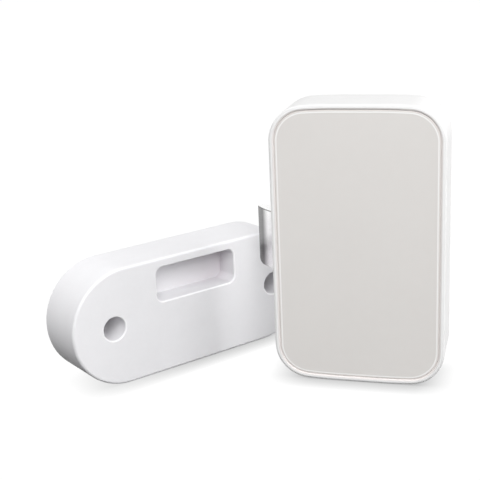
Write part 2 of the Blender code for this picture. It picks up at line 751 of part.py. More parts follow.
def add_front_panel(shop):
    outline = casing_outline(SHELL_WALL + FIT)
    place = (0, PANEL_RECESS + PANEL_THICKNESS / 2, 0)
    mesh = flat_mesh("front_panel", outline, PANEL_THICKNESS)
    panel = shop.piece("front_panel", mesh, GREY_PANEL, place, ALONG_Y)
    soften(panel, PANEL_EDGE_RADIUS)
    tab = box_mesh("tab", TAB_WIDTH, TAB_LENGTH + OVERLAP, TAB_THICKNESS)
    tab_y = PANEL_BACK + (TAB_LENGTH - OVERLAP) / 2
    rise = SHELL_WALL + LEDGE_WIDTH + 2 * FIT + TAB_THICKNESS / 2
    for x in (-TAB_SPREAD / 2, TAB_SPREAD / 2):
        for z in (rise, LOCK_HEIGHT - rise):
            shop.join(panel, tab, (x, tab_y, z))


def add_back(shop):
    outline = casing_outline(SHELL_WALL + FIT)
    depth, middle = span(PLATE_FRONT, PLATE_BACK)
    mesh = flat_mesh("back_plate", outline, depth)
    plate = shop.piece("back_plate", mesh, WHITE_SHELL, (0, middle, 0), ALONG_Y)
    standoff_length = BOARD_STANDOFF + OVERLAP
    standoff = rod_mesh("standoff", BOARD_STANDOFF_RADIUS, standoff_length)
    standoff_y = PLATE_FRONT - BOARD_STANDOFF + standoff_length / 2
    pilot = rod_mesh("pilot", BOARD_SCREW_RADIUS + SCREW_FIT, 2 * BOARD_SCREW_LENGTH)
    for x in (-BOARD_SCREW_X, BOARD_SCREW_X):
        shop.join(plate, standoff, (x, standoff_y, BOARD_Z), ALONG_Y)
        shop.cut(plate, pilot, (x, PLATE_FRONT - BOARD_STANDOFF, BOARD_Z), ALONG_Y)
    peg = rod_mesh("peg", PEG_RADIUS, PEG_LENGTH + FIT + OVERLAP)
    for x in (-PEG_SPREAD / 2, PEG_SPREAD / 2):
        shop.join(plate, peg, (x, PLATE_FRONT + (OVERLAP - PEG_LENGTH - FIT) / 2, MOTOR_Z), ALONG_Y)
    seat_depth = BACK_SCREW_HEAD_HEIGHT + SCREW_FIT
    seat = rod_mesh("screw_seat", BACK_SCREW_HEAD_RADIUS + FIT, 2 * seat_depth)
    hole = rod_mesh("screw_hole", BACK_SCREW_RADIUS + SCREW_FIT, BACK_PLATE_THICKNESS + 2 * CUT_MARGIN)
    screw = screw_mesh(
        "back_screw",
        BACK_SCREW_HEAD_RADIUS,
        BACK_SCREW_HEAD_HEIGHT,
        BACK_SCREW_RADIUS,
        BACK_SCREW_LENGTH,
    )
    for number, (x, z) in enumerate(boss_places(), 1):
        shop.cut(plate, seat, (x, PLATE_BACK, z), ALONG_Y)
        shop.cut(plate, hole, (x, middle, z), ALONG_Y)
        place = (x, PLATE_BACK - BACK_SCREW_HEAD_HEIGHT, z)
        shop.piece(f"back_screw_{number}", screw, STEEL, place, FACING_BACK)
    pad_outline = round_rectangle(BACK_PAD_WIDTH, BACK_PAD_HEIGHT, BACK_PAD_RADIUS)
    pad_y = PLATE_BACK + FIT + BACK_PAD_THICKNESS / 2
    pad = flat_mesh("back_pad", pad_outline, BACK_PAD_THICKNESS)
    shop.piece("back_pad", pad, FOAM, (0, pad_y, LOCK_HEIGHT / 2), ALONG_Y)


def add_cells(shop):
    body_end = CELL_LENGTH - NUB_LENGTH
    profile = [
        (0, CELL_LENGTH),
        (NUB_RADIUS, CELL_LENGTH),
        (NUB_RADIUS, body_end),
        (CELL_RADIUS - CELL_SHOULDER, body_end),
        (CELL_RADIUS, body_end - CELL_SHOULDER),
        (CELL_RADIUS, CELL_SHOULDER),
        (CELL_RADIUS - CELL_SHOULDER, 0),
        (0, 0),
    ]
    cell = turned_mesh("battery_cell", profile)
    plate = box_mesh("contact_plate", CONTACT_PLATE_THICKNESS, CONTACT_PLATE_SIDE, CONTACT_PLATE_SIDE)
    nub_x = INNER_HALF - CONTACT_PLATE_THICKNESS - 2 * FIT
    plate_x = INNER_HALF - FIT - CONTACT_PLATE_THICKNESS / 2
    spring_outer = INNER_HALF - FIT - CONTACT_SPRING_WIRE
    spring_inner = CELL_LENGTH - nub_x + FIT + CONTACT_SPRING_WIRE
    for number, (z, side) in enumerate(((LOWER_CELL_Z, -1), (UPPER_CELL_Z, 1)), 1):
        flat_end = side * (nub_x - CELL_LENGTH)
        lie = (0, side * math.pi / 2, 0)
        shop.piece(f"battery_cell_{number}", cell, CELL_JACKET, (flat_end, CELL_Y, z), lie)
        shop.piece(f"contact_plate_{number}", plate, NICKEL, (side * plate_x, CELL_Y, z))
        path = coil_path(
            -side * spring_outer,
            -side * spring_inner,
            CONTACT_SPRING_WIDE,
            CONTACT_SPRING_NARROW,
            CONTACT_SPRING_TURNS,
        )
        report_coil_gap(f"contact_spring_{number}", path, CONTACT_SPRING_WIRE)
        coil = tube_mesh(f"contact_spring_{number}", path, CONTACT_SPRING_WIRE)
        shop.piece(f"contact_spring_{number}", coil, NICKEL, (0, CELL_Y, z))
    add_contact_link(shop)
    add_battery_tray(shop)


def add_contact_link(shop):
    """The strip that joins the two contacts on the left, so that the cells lie in series."""
    low = LOWER_CELL_Z + CONTACT_PLATE_SIDE / 2 + FIT
    high = UPPER_CELL_Z - CONTACT_SPRING_WIDE - CONTACT_SPRING_WIRE - FIT
    height, middle = span(low, high)
    strip = box_mesh("contact_link", CONTACT_PLATE_THICKNESS, CONTACT_PLATE_SIDE / 2, height)
    x = -INNER_HALF + FIT + CONTACT_PLATE_THICKNESS / 2
    shop.piece("contact_link", strip, NICKEL, (x, CELL_Y, middle))


def solder_end(side, at_top):
    """The last stretch of a lead: a knee in front of the board, then straight back to it."""
    x = side * (BOARD_HALF - SOLDER_INSET)
    z = BOARD_BOTTOM + BOARD_HEIGHT - SOLDER_INSET if at_top else BOARD_BOTTOM + SOLDER_INSET
    return (x, z), [(x, BOARD_FRONT - LEAD_APPROACH, z), (x, BOARD_FRONT - FIT, z)]


def add_leads(shop):
    wall_x = INNER_HALF - LEAD_WALL_GAP - LEAD_RADIUS
    inner_x = wall_x - 2 * LEAD_RADIUS - LEAD_GAP
    run_y = (LEDGE_BACK + COVER_FRONT) / 2
    off_contact = FIT + LEAD_RADIUS
    plate_y = CELL_Y - CONTACT_PLATE_SIDE / 2 - off_contact
    spring_y = CELL_Y - CONTACT_SPRING_WIDE - CONTACT_SPRING_WIRE - off_contact
    battery_leads = (
        ("battery_lead_1", BLACK_LEAD, inner_x, spring_y, LOWER_CELL_Z, False),
        ("battery_lead_2", RED_LEAD, wall_x, plate_y, UPPER_CELL_Z, True),
    )
    for name, finish, run_x, start_y, start_z, at_top in battery_leads:
        (x, z), ending = solder_end(1, at_top)
        corners = [
            (wall_x, start_y, start_z),
            (run_x, run_y, start_z + LEAD_RISE),
            (run_x, run_y, BOLT_Z),
            (run_x - LEAD_LEAN, run_y, UPPER_RAIL_TOP),
            (x + LEAD_KNEE_OUT, MOTOR_Y - LEAD_KNEE_DEPTH, z - LEAD_KNEE_DROP),
        ]
        lead = tube_mesh(name, smooth_path(corners + ending), LEAD_RADIUS)
        shop.piece(name, lead, finish, (0, 0, 0))
    cap_x = MOTOR_REAR_X - 2 * FIT - MOTOR_CAP_LENGTH
    motor_leads = (
        ("motor_lead_1", BLACK_LEAD, -LEAD_SPREAD, MOTOR_LEAD_WIDE, LEAD_KNEE_DEPTH, False),
        ("motor_lead_2", RED_LEAD, LEAD_SPREAD, MOTOR_LEAD_NEAR, 0, True),
    )
    for name, finish, drop, reach, knee, at_top in motor_leads:
        (x, z), ending = solder_end(-1, at_top)
        start_z = MOTOR_Z + drop
        corners = [
            (cap_x, MOTOR_Y, start_z),
            (cap_x - LEAD_STUB, MOTOR_Y, start_z),
            (cap_x - reach, MOTOR_Y, start_z + LEAD_RISE),
            (x - LEAD_KNEE_OUT, MOTOR_Y + knee, z - LEAD_KNEE_DROP),
        ]
        lead = tube_mesh(name, smooth_path(corners + ending), LEAD_RADIUS)
        shop.piece(name, lead, finish, (0, 0, 0))


def add_battery_tray(shop):
    floor_front = CELL_Y + CELL_RADIUS + FIT
    floor_depth, floor_y = span(floor_front, BASE_BACK)
    floor_height, floor_z = span(LOWER_CELL_Z - CELL_RADIUS / 2, TRAY_TOP)
    floor = box_mesh("battery_tray", 2 * BASE_HALF, floor_depth, floor_height)
    tray = shop.piece("battery_tray", floor, GREY_NYLON, (0, floor_y, floor_z))
    wall_depth, wall_y = span(LEDGE_BACK + TRAY_WALL_FRONT, floor_front + OVERLAP)
    wall_z = TRAY_TOP - TRAY_WALL / 2
    shop.join(tray, box_mesh("tray_wall", 2 * BASE_HALF, wall_depth, TRAY_WALL), (0, wall_y, wall_z))


def bolt_section():
    """The bolt seen from above, its tip at the origin: a wedge whose face bulges a little forwards."""
    half = BOLT_THICKNESS / 2
    rise = half - BOLT_TIP_FLAT
    run, fall = BOLT_NOSE_LENGTH, -half - rise
    slope = math.hypot(run, fall)
    wedge = []
    for step in range(NOSE_STEPS + 1):
        share = step / NOSE_STEPS
        bulge = 4 * BOLT_NOSE_BULGE * share * (1 - share)
        wedge.append((run * share + bulge * fall / slope, rise + fall * share - bulge * run / slope))
    return [(0, half), *wedge, (BOLT_SHANK_LENGTH, -half), (BOLT_SHANK_LENGTH, half)]


def add_bolt(shop):
    mesh = flat_mesh("latch_bolt", bolt_section(), BOLT_HEIGHT)
    bolt = shop.piece("latch_bolt", mesh, POLISHED_ZINC, (BOLT_TIP_X, BOLT_Y, BOLT_Z))
    soften(bolt, BOLT_EDGE_RADIUS)
    radius = BOLT_CORNER_RADIUS
    corner = arc((radius, radius), radius, math.pi, 1.5 * math.pi, SLOT_STEPS)
    corner += [(radius, -CUT_MARGIN), (-CUT_MARGIN, -CUT_MARGIN), (-CUT_MARGIN, radius)]
    corner_mesh = flat_mesh("nose_corner", corner, BOLT_THICKNESS + 2 * CUT_MARGIN)
    shop.cut(bolt, corner_mesh, (BOLT_TIP_X, BOLT_Y, BOLT_BOTTOM), ALONG_Y)
    stem_length, stem_x = span(BOLT_SHOULDER_X - OVERLAP, STEM_END_X)
    shop.join(bolt, rod_mesh("stem", STEM_RADIUS, stem_length), (stem_x, BOLT_Y, BOLT_Z), ROD_ALONG_X)
    clip = rod_mesh("bolt_clip", CLIP_RADIUS, CLIP_THICKNESS)
    clip_x = CLIP_X + CLIP_THICKNESS / 2
    ring = shop.piece("bolt_clip", clip, STEEL, (clip_x, BOLT_Y, BOLT_Z), ROD_ALONG_X)
    bore = rod_mesh("clip_bore", STEM_RADIUS + AXLE_FIT, CLIP_THICKNESS + CUT_MARGIN)
    shop.cut(ring, bore, (clip_x, BOLT_Y, BOLT_Z), ROD_ALONG_X)
    path = coil_path(
        BOLT_SHOULDER_X + FIT + BOLT_SPRING_WIRE,
        END_WALL_FRONT_X - FIT - BOLT_SPRING_WIRE,
        BOLT_SPRING_RADIUS,
        BOLT_SPRING_RADIUS,
        BOLT_SPRING_TURNS,
    )
    report_coil_gap("bolt_spring", path, BOLT_SPRING_WIRE)
    coil = tube_mesh("bolt_spring", path, BOLT_SPRING_WIRE)
    shop.piece("bolt_spring", coil, STEEL, (0, BOLT_Y, BOLT_Z))


def add_carriage(shop):
    inner_bottom = CARRIAGE_BOTTOM + CARRIAGE_WALL
    inner_top = CARRIAGE_TOP - CARRIAGE_WALL
    yoke = [
        (CARRIAGE_MOUTH_X, CARRIAGE_BOTTOM),
        (END_WALL_BACK_X, CARRIAGE_BOTTOM),
        (END_WALL_BACK_X, CARRIAGE_TOP),
        (CARRIAGE_MOUTH_X, CARRIAGE_TOP),
        (CARRIAGE_MOUTH_X, inner_top),
        (END_WALL_FRONT_X, inner_top),
        (END_WALL_FRONT_X, inner_bottom),
        (CARRIAGE_MOUTH_X, inner_bottom),
    ]
    mesh = flat_mesh("bolt_carriage", yoke, BOLT_THICKNESS)
    carriage = shop.piece("bolt_carriage", mesh, BLACK_NYLON, (0, BOLT_Y, 0), ALONG_Y)
    arm_depth, arm_y = span(RACK_FRONT, BOLT_BACK)
    arm = flat_mesh("rack_arm", rack_outline(END_WALL_BACK_X - OVERLAP), arm_depth)
    shop.join(carriage, arm, (0, arm_y, 0), ALONG_Y)
    hole = rod_mesh("stem_hole", STEM_RADIUS + FIT, CARRIAGE_END_WALL + CUT_MARGIN)
    shop.cut(carriage, hole, (END_WALL_FRONT_X + CARRIAGE_END_WALL / 2, BOLT_Y, BOLT_Z), ROD_ALONG_X)


def add_gears(shop):
    gap_at_top = math.pi / 2 + math.pi / WHEEL_TEETH
    outline = gear_outline(
        WHEEL_TEETH, WHEEL_MODULE, WHEEL_ADDENDUM, WHEEL_DEDENDUM, WHEEL_BACKLASH, gap_at_top
    )
    mesh = flat_mesh("worm_wheel", outline, WHEEL_FACE)
    lead = math.pi * WHEEL_MODULE
    twist_mesh(mesh, lead / (2 * math.pi * WORM_PITCH_RADIUS) / WHEEL_RADIUS)
    centre = (WHEEL_X, MOTOR_Y, WHEEL_Z)
    wheel = shop.piece("worm_wheel", mesh, ACETAL, centre, ALONG_Y)
    outline = gear_outline(
        PINION_TEETH, PINION_MODULE, PINION_ADDENDUM, PINION_DEDENDUM, PINION_BACKLASH, -math.pi / 2
    )
    depth, middle = span(WHEEL_BACK - OVERLAP, BOLT_BACK - AXLE_FIT)
    shop.join(wheel, flat_mesh("pinion", outline, depth), (WHEEL_X, middle, WHEEL_Z), ALONG_Y)
    depth, middle = span(COVER_BACK + OVERLAP, WHEEL_FRONT + OVERLAP)
    shop.join(wheel, rod_mesh("hub", HUB_RADIUS, depth), (WHEEL_X, middle, WHEEL_Z), ALONG_Y)
    bore = rod_mesh("wheel_bore", AXLE_RADIUS + AXLE_FIT, 2 * SHELL_DEPTH)
    shop.cut(wheel, bore, centre, ALONG_Y)
    length, middle = span(COVER_FRONT + AXLE_INSET, BASE_BACK - AXLE_INSET)
    axle = rod_mesh("wheel_axle", AXLE_RADIUS, length)
    shop.piece("wheel_axle", axle, STEEL, (WHEEL_X, middle, WHEEL_Z), ALONG_Y)


def add_motor(shop):
    can_outline = flattened_round(MOTOR_HEIGHT / 2, MOTOR_DEPTH / 2)
    length, middle = span(MOTOR_REAR_X, MOTOR_FACE_X)
    mesh = flat_mesh("motor_can", can_outline, length)
    can = shop.piece("motor_can", mesh, STEEL, (middle, MOTOR_Y, MOTOR_Z), ALONG_X)
    soften(can, COMPONENT_EDGE_RADIUS)
    nose = rod_mesh("nose_hole", SHAFT_RADIUS + FIT, 2 * (SHAFT_ROOT + FIT))
    shop.cut(can, nose, (MOTOR_FACE_X, MOTOR_Y, MOTOR_Z), ROD_ALONG_X)
    cap_outline = flattened_round(MOTOR_HEIGHT / 2 - MOTOR_CAP_STEP, MOTOR_DEPTH / 2 - MOTOR_CAP_STEP)
    cap_x = MOTOR_REAR_X - FIT - MOTOR_CAP_LENGTH / 2
    cap = flat_mesh("motor_cap", cap_outline, MOTOR_CAP_LENGTH)
    shop.piece("motor_cap", cap, BLACK_NYLON, (cap_x, MOTOR_Y, MOTOR_Z), ALONG_X)
    length, middle = span(MOTOR_FACE_X - SHAFT_ROOT, BEARING_X + BEARING_LENGTH)
    shaft = rod_mesh("motor_shaft", SHAFT_RADIUS, length)
    shop.piece("motor_shaft", shaft, STEEL, (middle, MOTOR_Y, MOTOR_Z), ROD_ALONG_X)
    worm_centre = (WHEEL_X, MOTOR_Y, MOTOR_Z)
    core = rod_mesh("worm", WORM_CORE_RADIUS, WORM_LENGTH)
    worm = shop.piece("worm", core, BRASS, worm_centre, ROD_ALONG_X)
    half_thread = math.pi * WHEEL_MODULE * THREAD_TURNS / 2
    first_angle = -math.pi / 2 - math.pi * THREAD_TURNS
    path = coil_path(-half_thread, half_thread, THREAD_RADIUS, THREAD_RADIUS, THREAD_TURNS, first_angle)
    shop.join(worm, tube_mesh("worm_thread", path, THREAD_WIRE), worm_centre)
    bore = rod_mesh("worm_bore", SHAFT_RADIUS + AXLE_FIT, WORM_LENGTH + CUT_MARGIN)
    shop.cut(worm, bore, worm_centre, ROD_ALONG_X)
    add_motor_clamp(shop)


def add_motor_clamp(shop):
    """A spring-steel bridge over the motor, with a leg down each side."""
    web_back = MOTOR_Y - MOTOR_DEPTH / 2 - FIT
    web_front = web_back - CLAMP_THICKNESS
    foot = BASE_FRONT - FIT
    inner_bottom = CLAMP_BOTTOM + CLAMP_THICKNESS
    inner_top = CLAMP_TOP - CLAMP_THICKNESS
    outline = [
        (web_front, CLAMP_BOTTOM),
        (foot, CLAMP_BOTTOM),
        (foot, inner_bottom),
        (web_back, inner_bottom),
        (web_back, inner_top),
        (foot, inner_top),
        (foot, CLAMP_TOP),
        (web_front, CLAMP_TOP),
    ]
    mesh = flat_mesh("motor_clamp", outline, CLAMP_LENGTH)
    middle = (MOTOR_REAR_X + MOTOR_FACE_X) / 2
    shop.piece("motor_clamp", mesh, NICKEL, (middle, 0, 0), ALONG_X)


def cover_screw_places():
    return [
        (-COVER_SCREW_LEFT, COVER_SCREW_Z),
        (COVER_SCREW_MIDDLE, COVER_SCREW_Z),
        (COVER_POST_X, COVER_POST_Z),
    ]


def add_mechanism_base(shop):
    height, middle_z = span(BASE_BOTTOM, BASE_TOP)
    plate = box_mesh("mechanism_base", 2 * BASE_HALF, BASE_THICKNESS, height)
    base = shop.piece("mechanism_base", plate, GREY_NYLON, (0, BASE_FRONT + BASE_THICKNESS / 2, middle_z))
    depth, rail_y = span(BOLT_FRONT, BASE_FRONT + OVERLAP)
    height, rail_z = span(BASE_BOTTOM, LOWER_RAIL_TOP)
    shop.join(base, box_mesh("lower_rail", 2 * BASE_HALF, depth, height), (0, rail_y, rail_z))
    height, rail_z = span(UPPER_RAIL_BOTTOM, UPPER_RAIL_TOP)
    width, rail_x = span(-BASE_HALF, UPPER_RAIL_END_X)
    shop.join(base, box_mesh("upper_rail", width, depth, height), (rail_x, rail_y, rail_z))
    post = rod_mesh("cover_post", COVER_POST_RADIUS, depth)
    shop.join(base, post, (COVER_POST_X, rail_y, COVER_POST_Z), ALONG_Y)
    depth, bearing_y = span(MOTOR_Y - BEARING_HEIGHT_OVER_SHAFT, BASE_FRONT + OVERLAP)
    bearing = box_mesh("bearing_post", BEARING_LENGTH, depth, BEARING_WIDTH)
    bearing_x = BEARING_X + BEARING_LENGTH / 2
    shop.join(base, bearing, (bearing_x, bearing_y, MOTOR_Z))
    bore = rod_mesh("bearing_bore", SHAFT_RADIUS + FIT, BEARING_LENGTH + CUT_MARGIN)
    shop.cut(base, bore, (bearing_x, MOTOR_Y, MOTOR_Z), ROD_ALONG_X)
    axle_hole = rod_mesh("axle_hole", AXLE_RADIUS + AXLE_FIT, BASE_THICKNESS + CUT_MARGIN)
    shop.cut(base, axle_hole, (WHEEL_X, BASE_FRONT + BASE_THICKNESS / 2, WHEEL_Z), ALONG_Y)
    peg_hole = rod_mesh("peg_hole", PEG_RADIUS + FIT, BASE_THICKNESS + CUT_MARGIN)
    for x in (-PEG_SPREAD / 2, PEG_SPREAD / 2):
        shop.cut(base, peg_hole, (x, BASE_FRONT + BASE_THICKNESS / 2, MOTOR_Z), ALONG_Y)
    pilot = rod_mesh("pilot", COVER_SCREW_RADIUS + SCREW_FIT, 2 * COVER_SCREW_LENGTH)
    for x, z in cover_screw_places():
        shop.cut(base, pilot, (x, BOLT_FRONT, z), ALONG_Y)


def add_mechanism_cover(shop):
    height, middle_z = span(BASE_BOTTOM, UPPER_RAIL_TOP)
    middle_y = COVER_FRONT + COVER_THICKNESS / 2
    plate = box_mesh("mechanism_cover", 2 * BASE_HALF, COVER_THICKNESS, height)
    cover = shop.piece("mechanism_cover", plate, NICKEL, (0, middle_y, middle_z))
    axle_hole = rod_mesh("axle_hole", AXLE_RADIUS + AXLE_FIT, COVER_THICKNESS + CUT_MARGIN)
    shop.cut(cover, axle_hole, (WHEEL_X, middle_y, WHEEL_Z), ALONG_Y)
    hole = rod_mesh("screw_hole", COVER_SCREW_RADIUS + FIT, COVER_THICKNESS + CUT_MARGIN)
    screw = screw_mesh(
        "cover_screw",
        COVER_SCREW_HEAD_RADIUS,
        COVER_SCREW_HEAD_HEIGHT,
        COVER_SCREW_RADIUS,
        COVER_SCREW_LENGTH,
    )
    for number, (x, z) in enumerate(cover_screw_places(), 1):
        shop.cut(cover, hole, (x, middle_y, z), ALONG_Y)
        shop.piece(f"cover_screw_{number}", screw, STEEL, (x, COVER_FRONT - SCREW_FIT, z), ALONG_Y)


def add_board(shop):
    board_y = BOARD_FRONT + BOARD_THICKNESS / 2
    plate = box_mesh("circuit_board", 2 * BOARD_HALF, BOARD_THICKNESS, BOARD_HEIGHT)
    board = shop.piece("circuit_board", plate, GREEN_BOARD, (0, board_y, BOARD_Z))
    hole = rod_mesh("screw_hole", BOARD_SCREW_RADIUS + FIT, BOARD_THICKNESS + CUT_MARGIN)
    screw = screw_mesh(
        "board_screw",
        BOARD_SCREW_HEAD_RADIUS,
        BOARD_SCREW_HEAD_HEIGHT,
        BOARD_SCREW_RADIUS,
        BOARD_SCREW_LENGTH,
    )
    for number, x in enumerate((-BOARD_SCREW_X, BOARD_SCREW_X), 1):
        shop.cut(board, hole, (x, board_y, BOARD_Z), ALONG_Y)
        shop.piece(f"board_screw_{number}", screw, STEEL, (x, BOARD_FRONT - SCREW_FIT, BOARD_Z), ALONG_Y)

    left = BOARD_SCREW_HEAD_RADIUS + BOARD_PART_GAP - BOARD_SCREW_X
    mesh = box_mesh("radio_module", RADIO_WIDTH, RADIO_THICKNESS, RADIO_HEIGHT)
    place = (left + RADIO_WIDTH / 2, PART_FACE - RADIO_THICKNESS / 2, BOARD_Z)
    soften(shop.piece("radio_module", mesh, NICKEL, place), COMPONENT_EDGE_RADIUS)
    left += RADIO_WIDTH + BOARD_PART_GAP
    mesh = box_mesh("control_chip", CHIP_SIDE, CHIP_THICKNESS, CHIP_SIDE)
    place = (left + CHIP_SIDE / 2, PART_FACE - CHIP_THICKNESS / 2, BOARD_Z)
    shop.piece("control_chip", mesh, BLACK_CASE, place)
    left += CHIP_SIDE + BOARD_PART_GAP + BUZZER_RADIUS
    mesh = rod_mesh("buzzer", BUZZER_RADIUS, BUZZER_HEIGHT, FINE_STEPS)
    place = (left, PART_FACE - BUZZER_HEIGHT / 2, BOARD_Z)
    buzzer = shop.piece("buzzer", mesh, BLACK_CASE, place, ALONG_Y)
    soften(buzzer, COMPONENT_EDGE_RADIUS)
    sound_hole = rod_mesh("sound_hole", BUZZER_HOLE_RADIUS, 2 * BUZZER_HOLE_DEPTH)
    shop.cut(buzzer, sound_hole, (left, PART_FACE - BUZZER_HEIGHT, BOARD_Z), ALONG_Y)
    left += BUZZER_RADIUS + BOARD_PART_GAP + SWITCH_SIDE / 2
    add_reset_switch(shop, left)


def add_reset_switch(shop, x):
    mesh = box_mesh("reset_switch", SWITCH_SIDE, SWITCH_HEIGHT, SWITCH_SIDE)
    switch = shop.piece("reset_switch", mesh, BLACK_CASE, (x, PART_FACE - SWITCH_HEIGHT / 2, BOARD_Z))
    face = PART_FACE - SWITCH_HEIGHT
    well = rod_mesh("button_well", BUTTON_RADIUS + BUTTON_FIT, 2 * SWITCH_WELL_DEPTH)
    shop.cut(switch, well, (x, face, BOARD_Z), ALONG_Y)
    length, middle = span(face - BUTTON_STANDS_OUT, face + BUTTON_SINK)
    mesh = rod_mesh("reset_button", BUTTON_RADIUS, length)
    button = shop.piece("reset_button", mesh, ACETAL, (x, middle, BOARD_Z), ALONG_Y)
    soften(button, COMPONENT_EDGE_RADIUS)


def add_striker(shop):
    outline = stadium(STRIKER_LENGTH, STRIKER_HEIGHT)
    middle_z = STRIKER_HEIGHT / 2
    place = (0, STRIKER_DEPTH / 2, middle_z)
    mesh = flat_mesh("striker_body", outline, STRIKER_DEPTH)
    striker = shop.piece("striker_body", mesh, WHITE_STRIKER, place, ALONG_Y)
    soften(striker, STRIKER_EDGE_RADIUS, 3)
    slot_z = SLOT_BOTTOM + SLOT_HEIGHT / 2
    hole_places = [(side * HOLE_SPACING / 2, HOLE_CENTRE_HEIGHT) for side in (-1, 1)]

    core_outline = stadium(STRIKER_LENGTH - 2 * STRIKER_WALL, STRIKER_HEIGHT - 2 * STRIKER_WALL)
    depth, middle = span(STRIKER_WALL, STRIKER_DEPTH + CUT_MARGIN)
    core_mesh = flat_mesh("striker_core", core_outline, depth)
    core = shop.tool("striker_core", core_mesh, (0, middle, middle_z), ALONG_Y)
    block_width = SLOT_WIDTH + 2 * SLOT_WALL
    block_height = SLOT_HEIGHT + 2 * SLOT_WALL
    slot_block = box_mesh("slot_block", block_width, 2 * (SLOT_DEPTH + SLOT_WALL), block_height)
    shop.cut(core, slot_block, (0, 0, slot_z))
    boss = rod_mesh("screw_boss", COUNTERBORE_RADIUS + SLOT_WALL, 2 * SHELL_DEPTH)
    for x, z in hole_places:
        shop.cut(core, boss, (x, middle, z), ALONG_Y)
    shop.combine(striker, core, "DIFFERENCE")

    slot_outline = round_rectangle(SLOT_WIDTH, SLOT_HEIGHT, SLOT_RADIUS, SLOT_STEPS)
    shop.cut(striker, flat_mesh("slot", slot_outline, 2 * SLOT_DEPTH), (0, 0, slot_z), ALONG_Y)
    bore_depth = STRIKER_DEPTH - COUNTERBORE_FLOOR
    counterbore = rod_mesh("counterbore", COUNTERBORE_RADIUS, 2 * bore_depth, FINE_STEPS)
    screw_hole = rod_mesh("screw_hole", SCREW_HOLE_RADIUS, 4 * STRIKER_DEPTH)

    pad_outline = stadium(STRIKER_LENGTH - 2 * STRIKER_PAD_INSET, STRIKER_HEIGHT - 2 * STRIKER_PAD_INSET)
    pad_mesh = flat_mesh("striker_pad", pad_outline, STRIKER_PAD_THICKNESS)
    pad_y = STRIKER_DEPTH + FIT + STRIKER_PAD_THICKNESS / 2
    pad = shop.piece("striker_pad", pad_mesh, FOAM, (0, pad_y, middle_z), ALONG_Y)
    pad_hole = rod_mesh("pad_hole", STRIKER_PAD_HOLE_RADIUS, STRIKER_PAD_THICKNESS + CUT_MARGIN)
    for x, z in hole_places:
        shop.cut(striker, counterbore, (x, 0, z), ALONG_Y)
        shop.cut(striker, screw_hole, (x, 0, z), ALONG_Y)
        shop.cut(pad, pad_hole, (x, pad_y, z), ALONG_Y)


def main():
    clear_scene()
    shop = Workshop(make_collection(OBJECT_NAME), make_collection("cutters"))
    shop.open_frame("lock_frame", (0, -SHELL_DEPTH / 2, 0))
    add_casing(shop)
    add_front_panel(shop)
    add_back(shop)
    add_cells(shop)
    add_bolt(shop)
    add_carriage(shop)
    add_gears(shop)
    add_motor(shop)
    add_mechanism_base(shop)
    add_mechanism_cover(shop)
    add_board(shop)
    add_leads(shop)
    shop.open_frame(
        "striker_frame", (-STRIKER_ASIDE, STRIKER_AHEAD - SHELL_DEPTH / 2, 0), STRIKER_TURN
    )
    add_striker(shop)


main()
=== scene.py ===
"""The look of the drawer lock and its striker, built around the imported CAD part."""

import json
import math

import bmesh
import bpy
from mathutils import Matrix, Vector


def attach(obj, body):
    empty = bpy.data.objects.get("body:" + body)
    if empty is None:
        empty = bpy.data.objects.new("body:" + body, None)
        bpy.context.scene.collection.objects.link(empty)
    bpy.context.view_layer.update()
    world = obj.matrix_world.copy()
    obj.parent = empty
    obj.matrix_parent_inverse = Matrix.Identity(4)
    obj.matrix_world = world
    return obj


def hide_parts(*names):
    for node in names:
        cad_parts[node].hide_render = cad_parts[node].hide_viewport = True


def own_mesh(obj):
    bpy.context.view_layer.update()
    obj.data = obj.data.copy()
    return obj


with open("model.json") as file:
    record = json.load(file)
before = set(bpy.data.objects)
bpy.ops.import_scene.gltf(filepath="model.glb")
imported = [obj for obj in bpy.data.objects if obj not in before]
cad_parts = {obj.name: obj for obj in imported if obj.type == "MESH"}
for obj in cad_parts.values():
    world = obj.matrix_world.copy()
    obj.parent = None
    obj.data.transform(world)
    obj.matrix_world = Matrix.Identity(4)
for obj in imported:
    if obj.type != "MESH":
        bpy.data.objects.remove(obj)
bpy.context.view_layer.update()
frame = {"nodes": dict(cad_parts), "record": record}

# Lock casing, in metres. The row's y is measured from the middle of the casing's depth.
LOCK_WIDTH = 0.0530
LOCK_HEIGHT = 0.0880
LOCK_FRONT = -0.0096
LOCK_DEPTH = 0.0192
CORNER_RADIUS = 0.0110
EDGE_BOW = 0.00125
FOOT_FLAT = 0.0120
WALL = 0.0016
RIM_ROUND = 0.00085
RIM_DROP = 0.00065
RIM_INNER_ROUND = 0.00075
RIM_INNER_DROP = 0.00055
GROOVE_STEEP = 28
BACK_ROUND = 0.0013
BACK_INNER_ROUND = 0.0002
LEDGE_FRONT = 0.0024
LEDGE_BACK = 0.0036
LEDGE_REACH = 0.0028
BOSS_X = 0.02073
BOSS_Z = 0.00605
BOSS_RADIUS = 0.0026
BOSS_FRONT = 0.0139
BOSS_BACK = 0.0166
PILOT_RADIUS = 0.00105

# The casing's outline: a bowed top and foot, met by the corners' arcs
BOW_SPAN = LOCK_WIDTH / 2 - FOOT_FLAT / 2
BOW_RADIUS = (BOW_SPAN**2 + EDGE_BOW**2) / (2 * EDGE_BOW)
CORNER_X = LOCK_WIDTH / 2 - CORNER_RADIUS
BOW_ANGLE = math.asin((CORNER_X - FOOT_FLAT / 2) / (BOW_RADIUS - CORNER_RADIUS))
CORNER_Z = LOCK_HEIGHT - BOW_RADIUS + (BOW_RADIUS - CORNER_RADIUS) * math.cos(BOW_ANGLE)

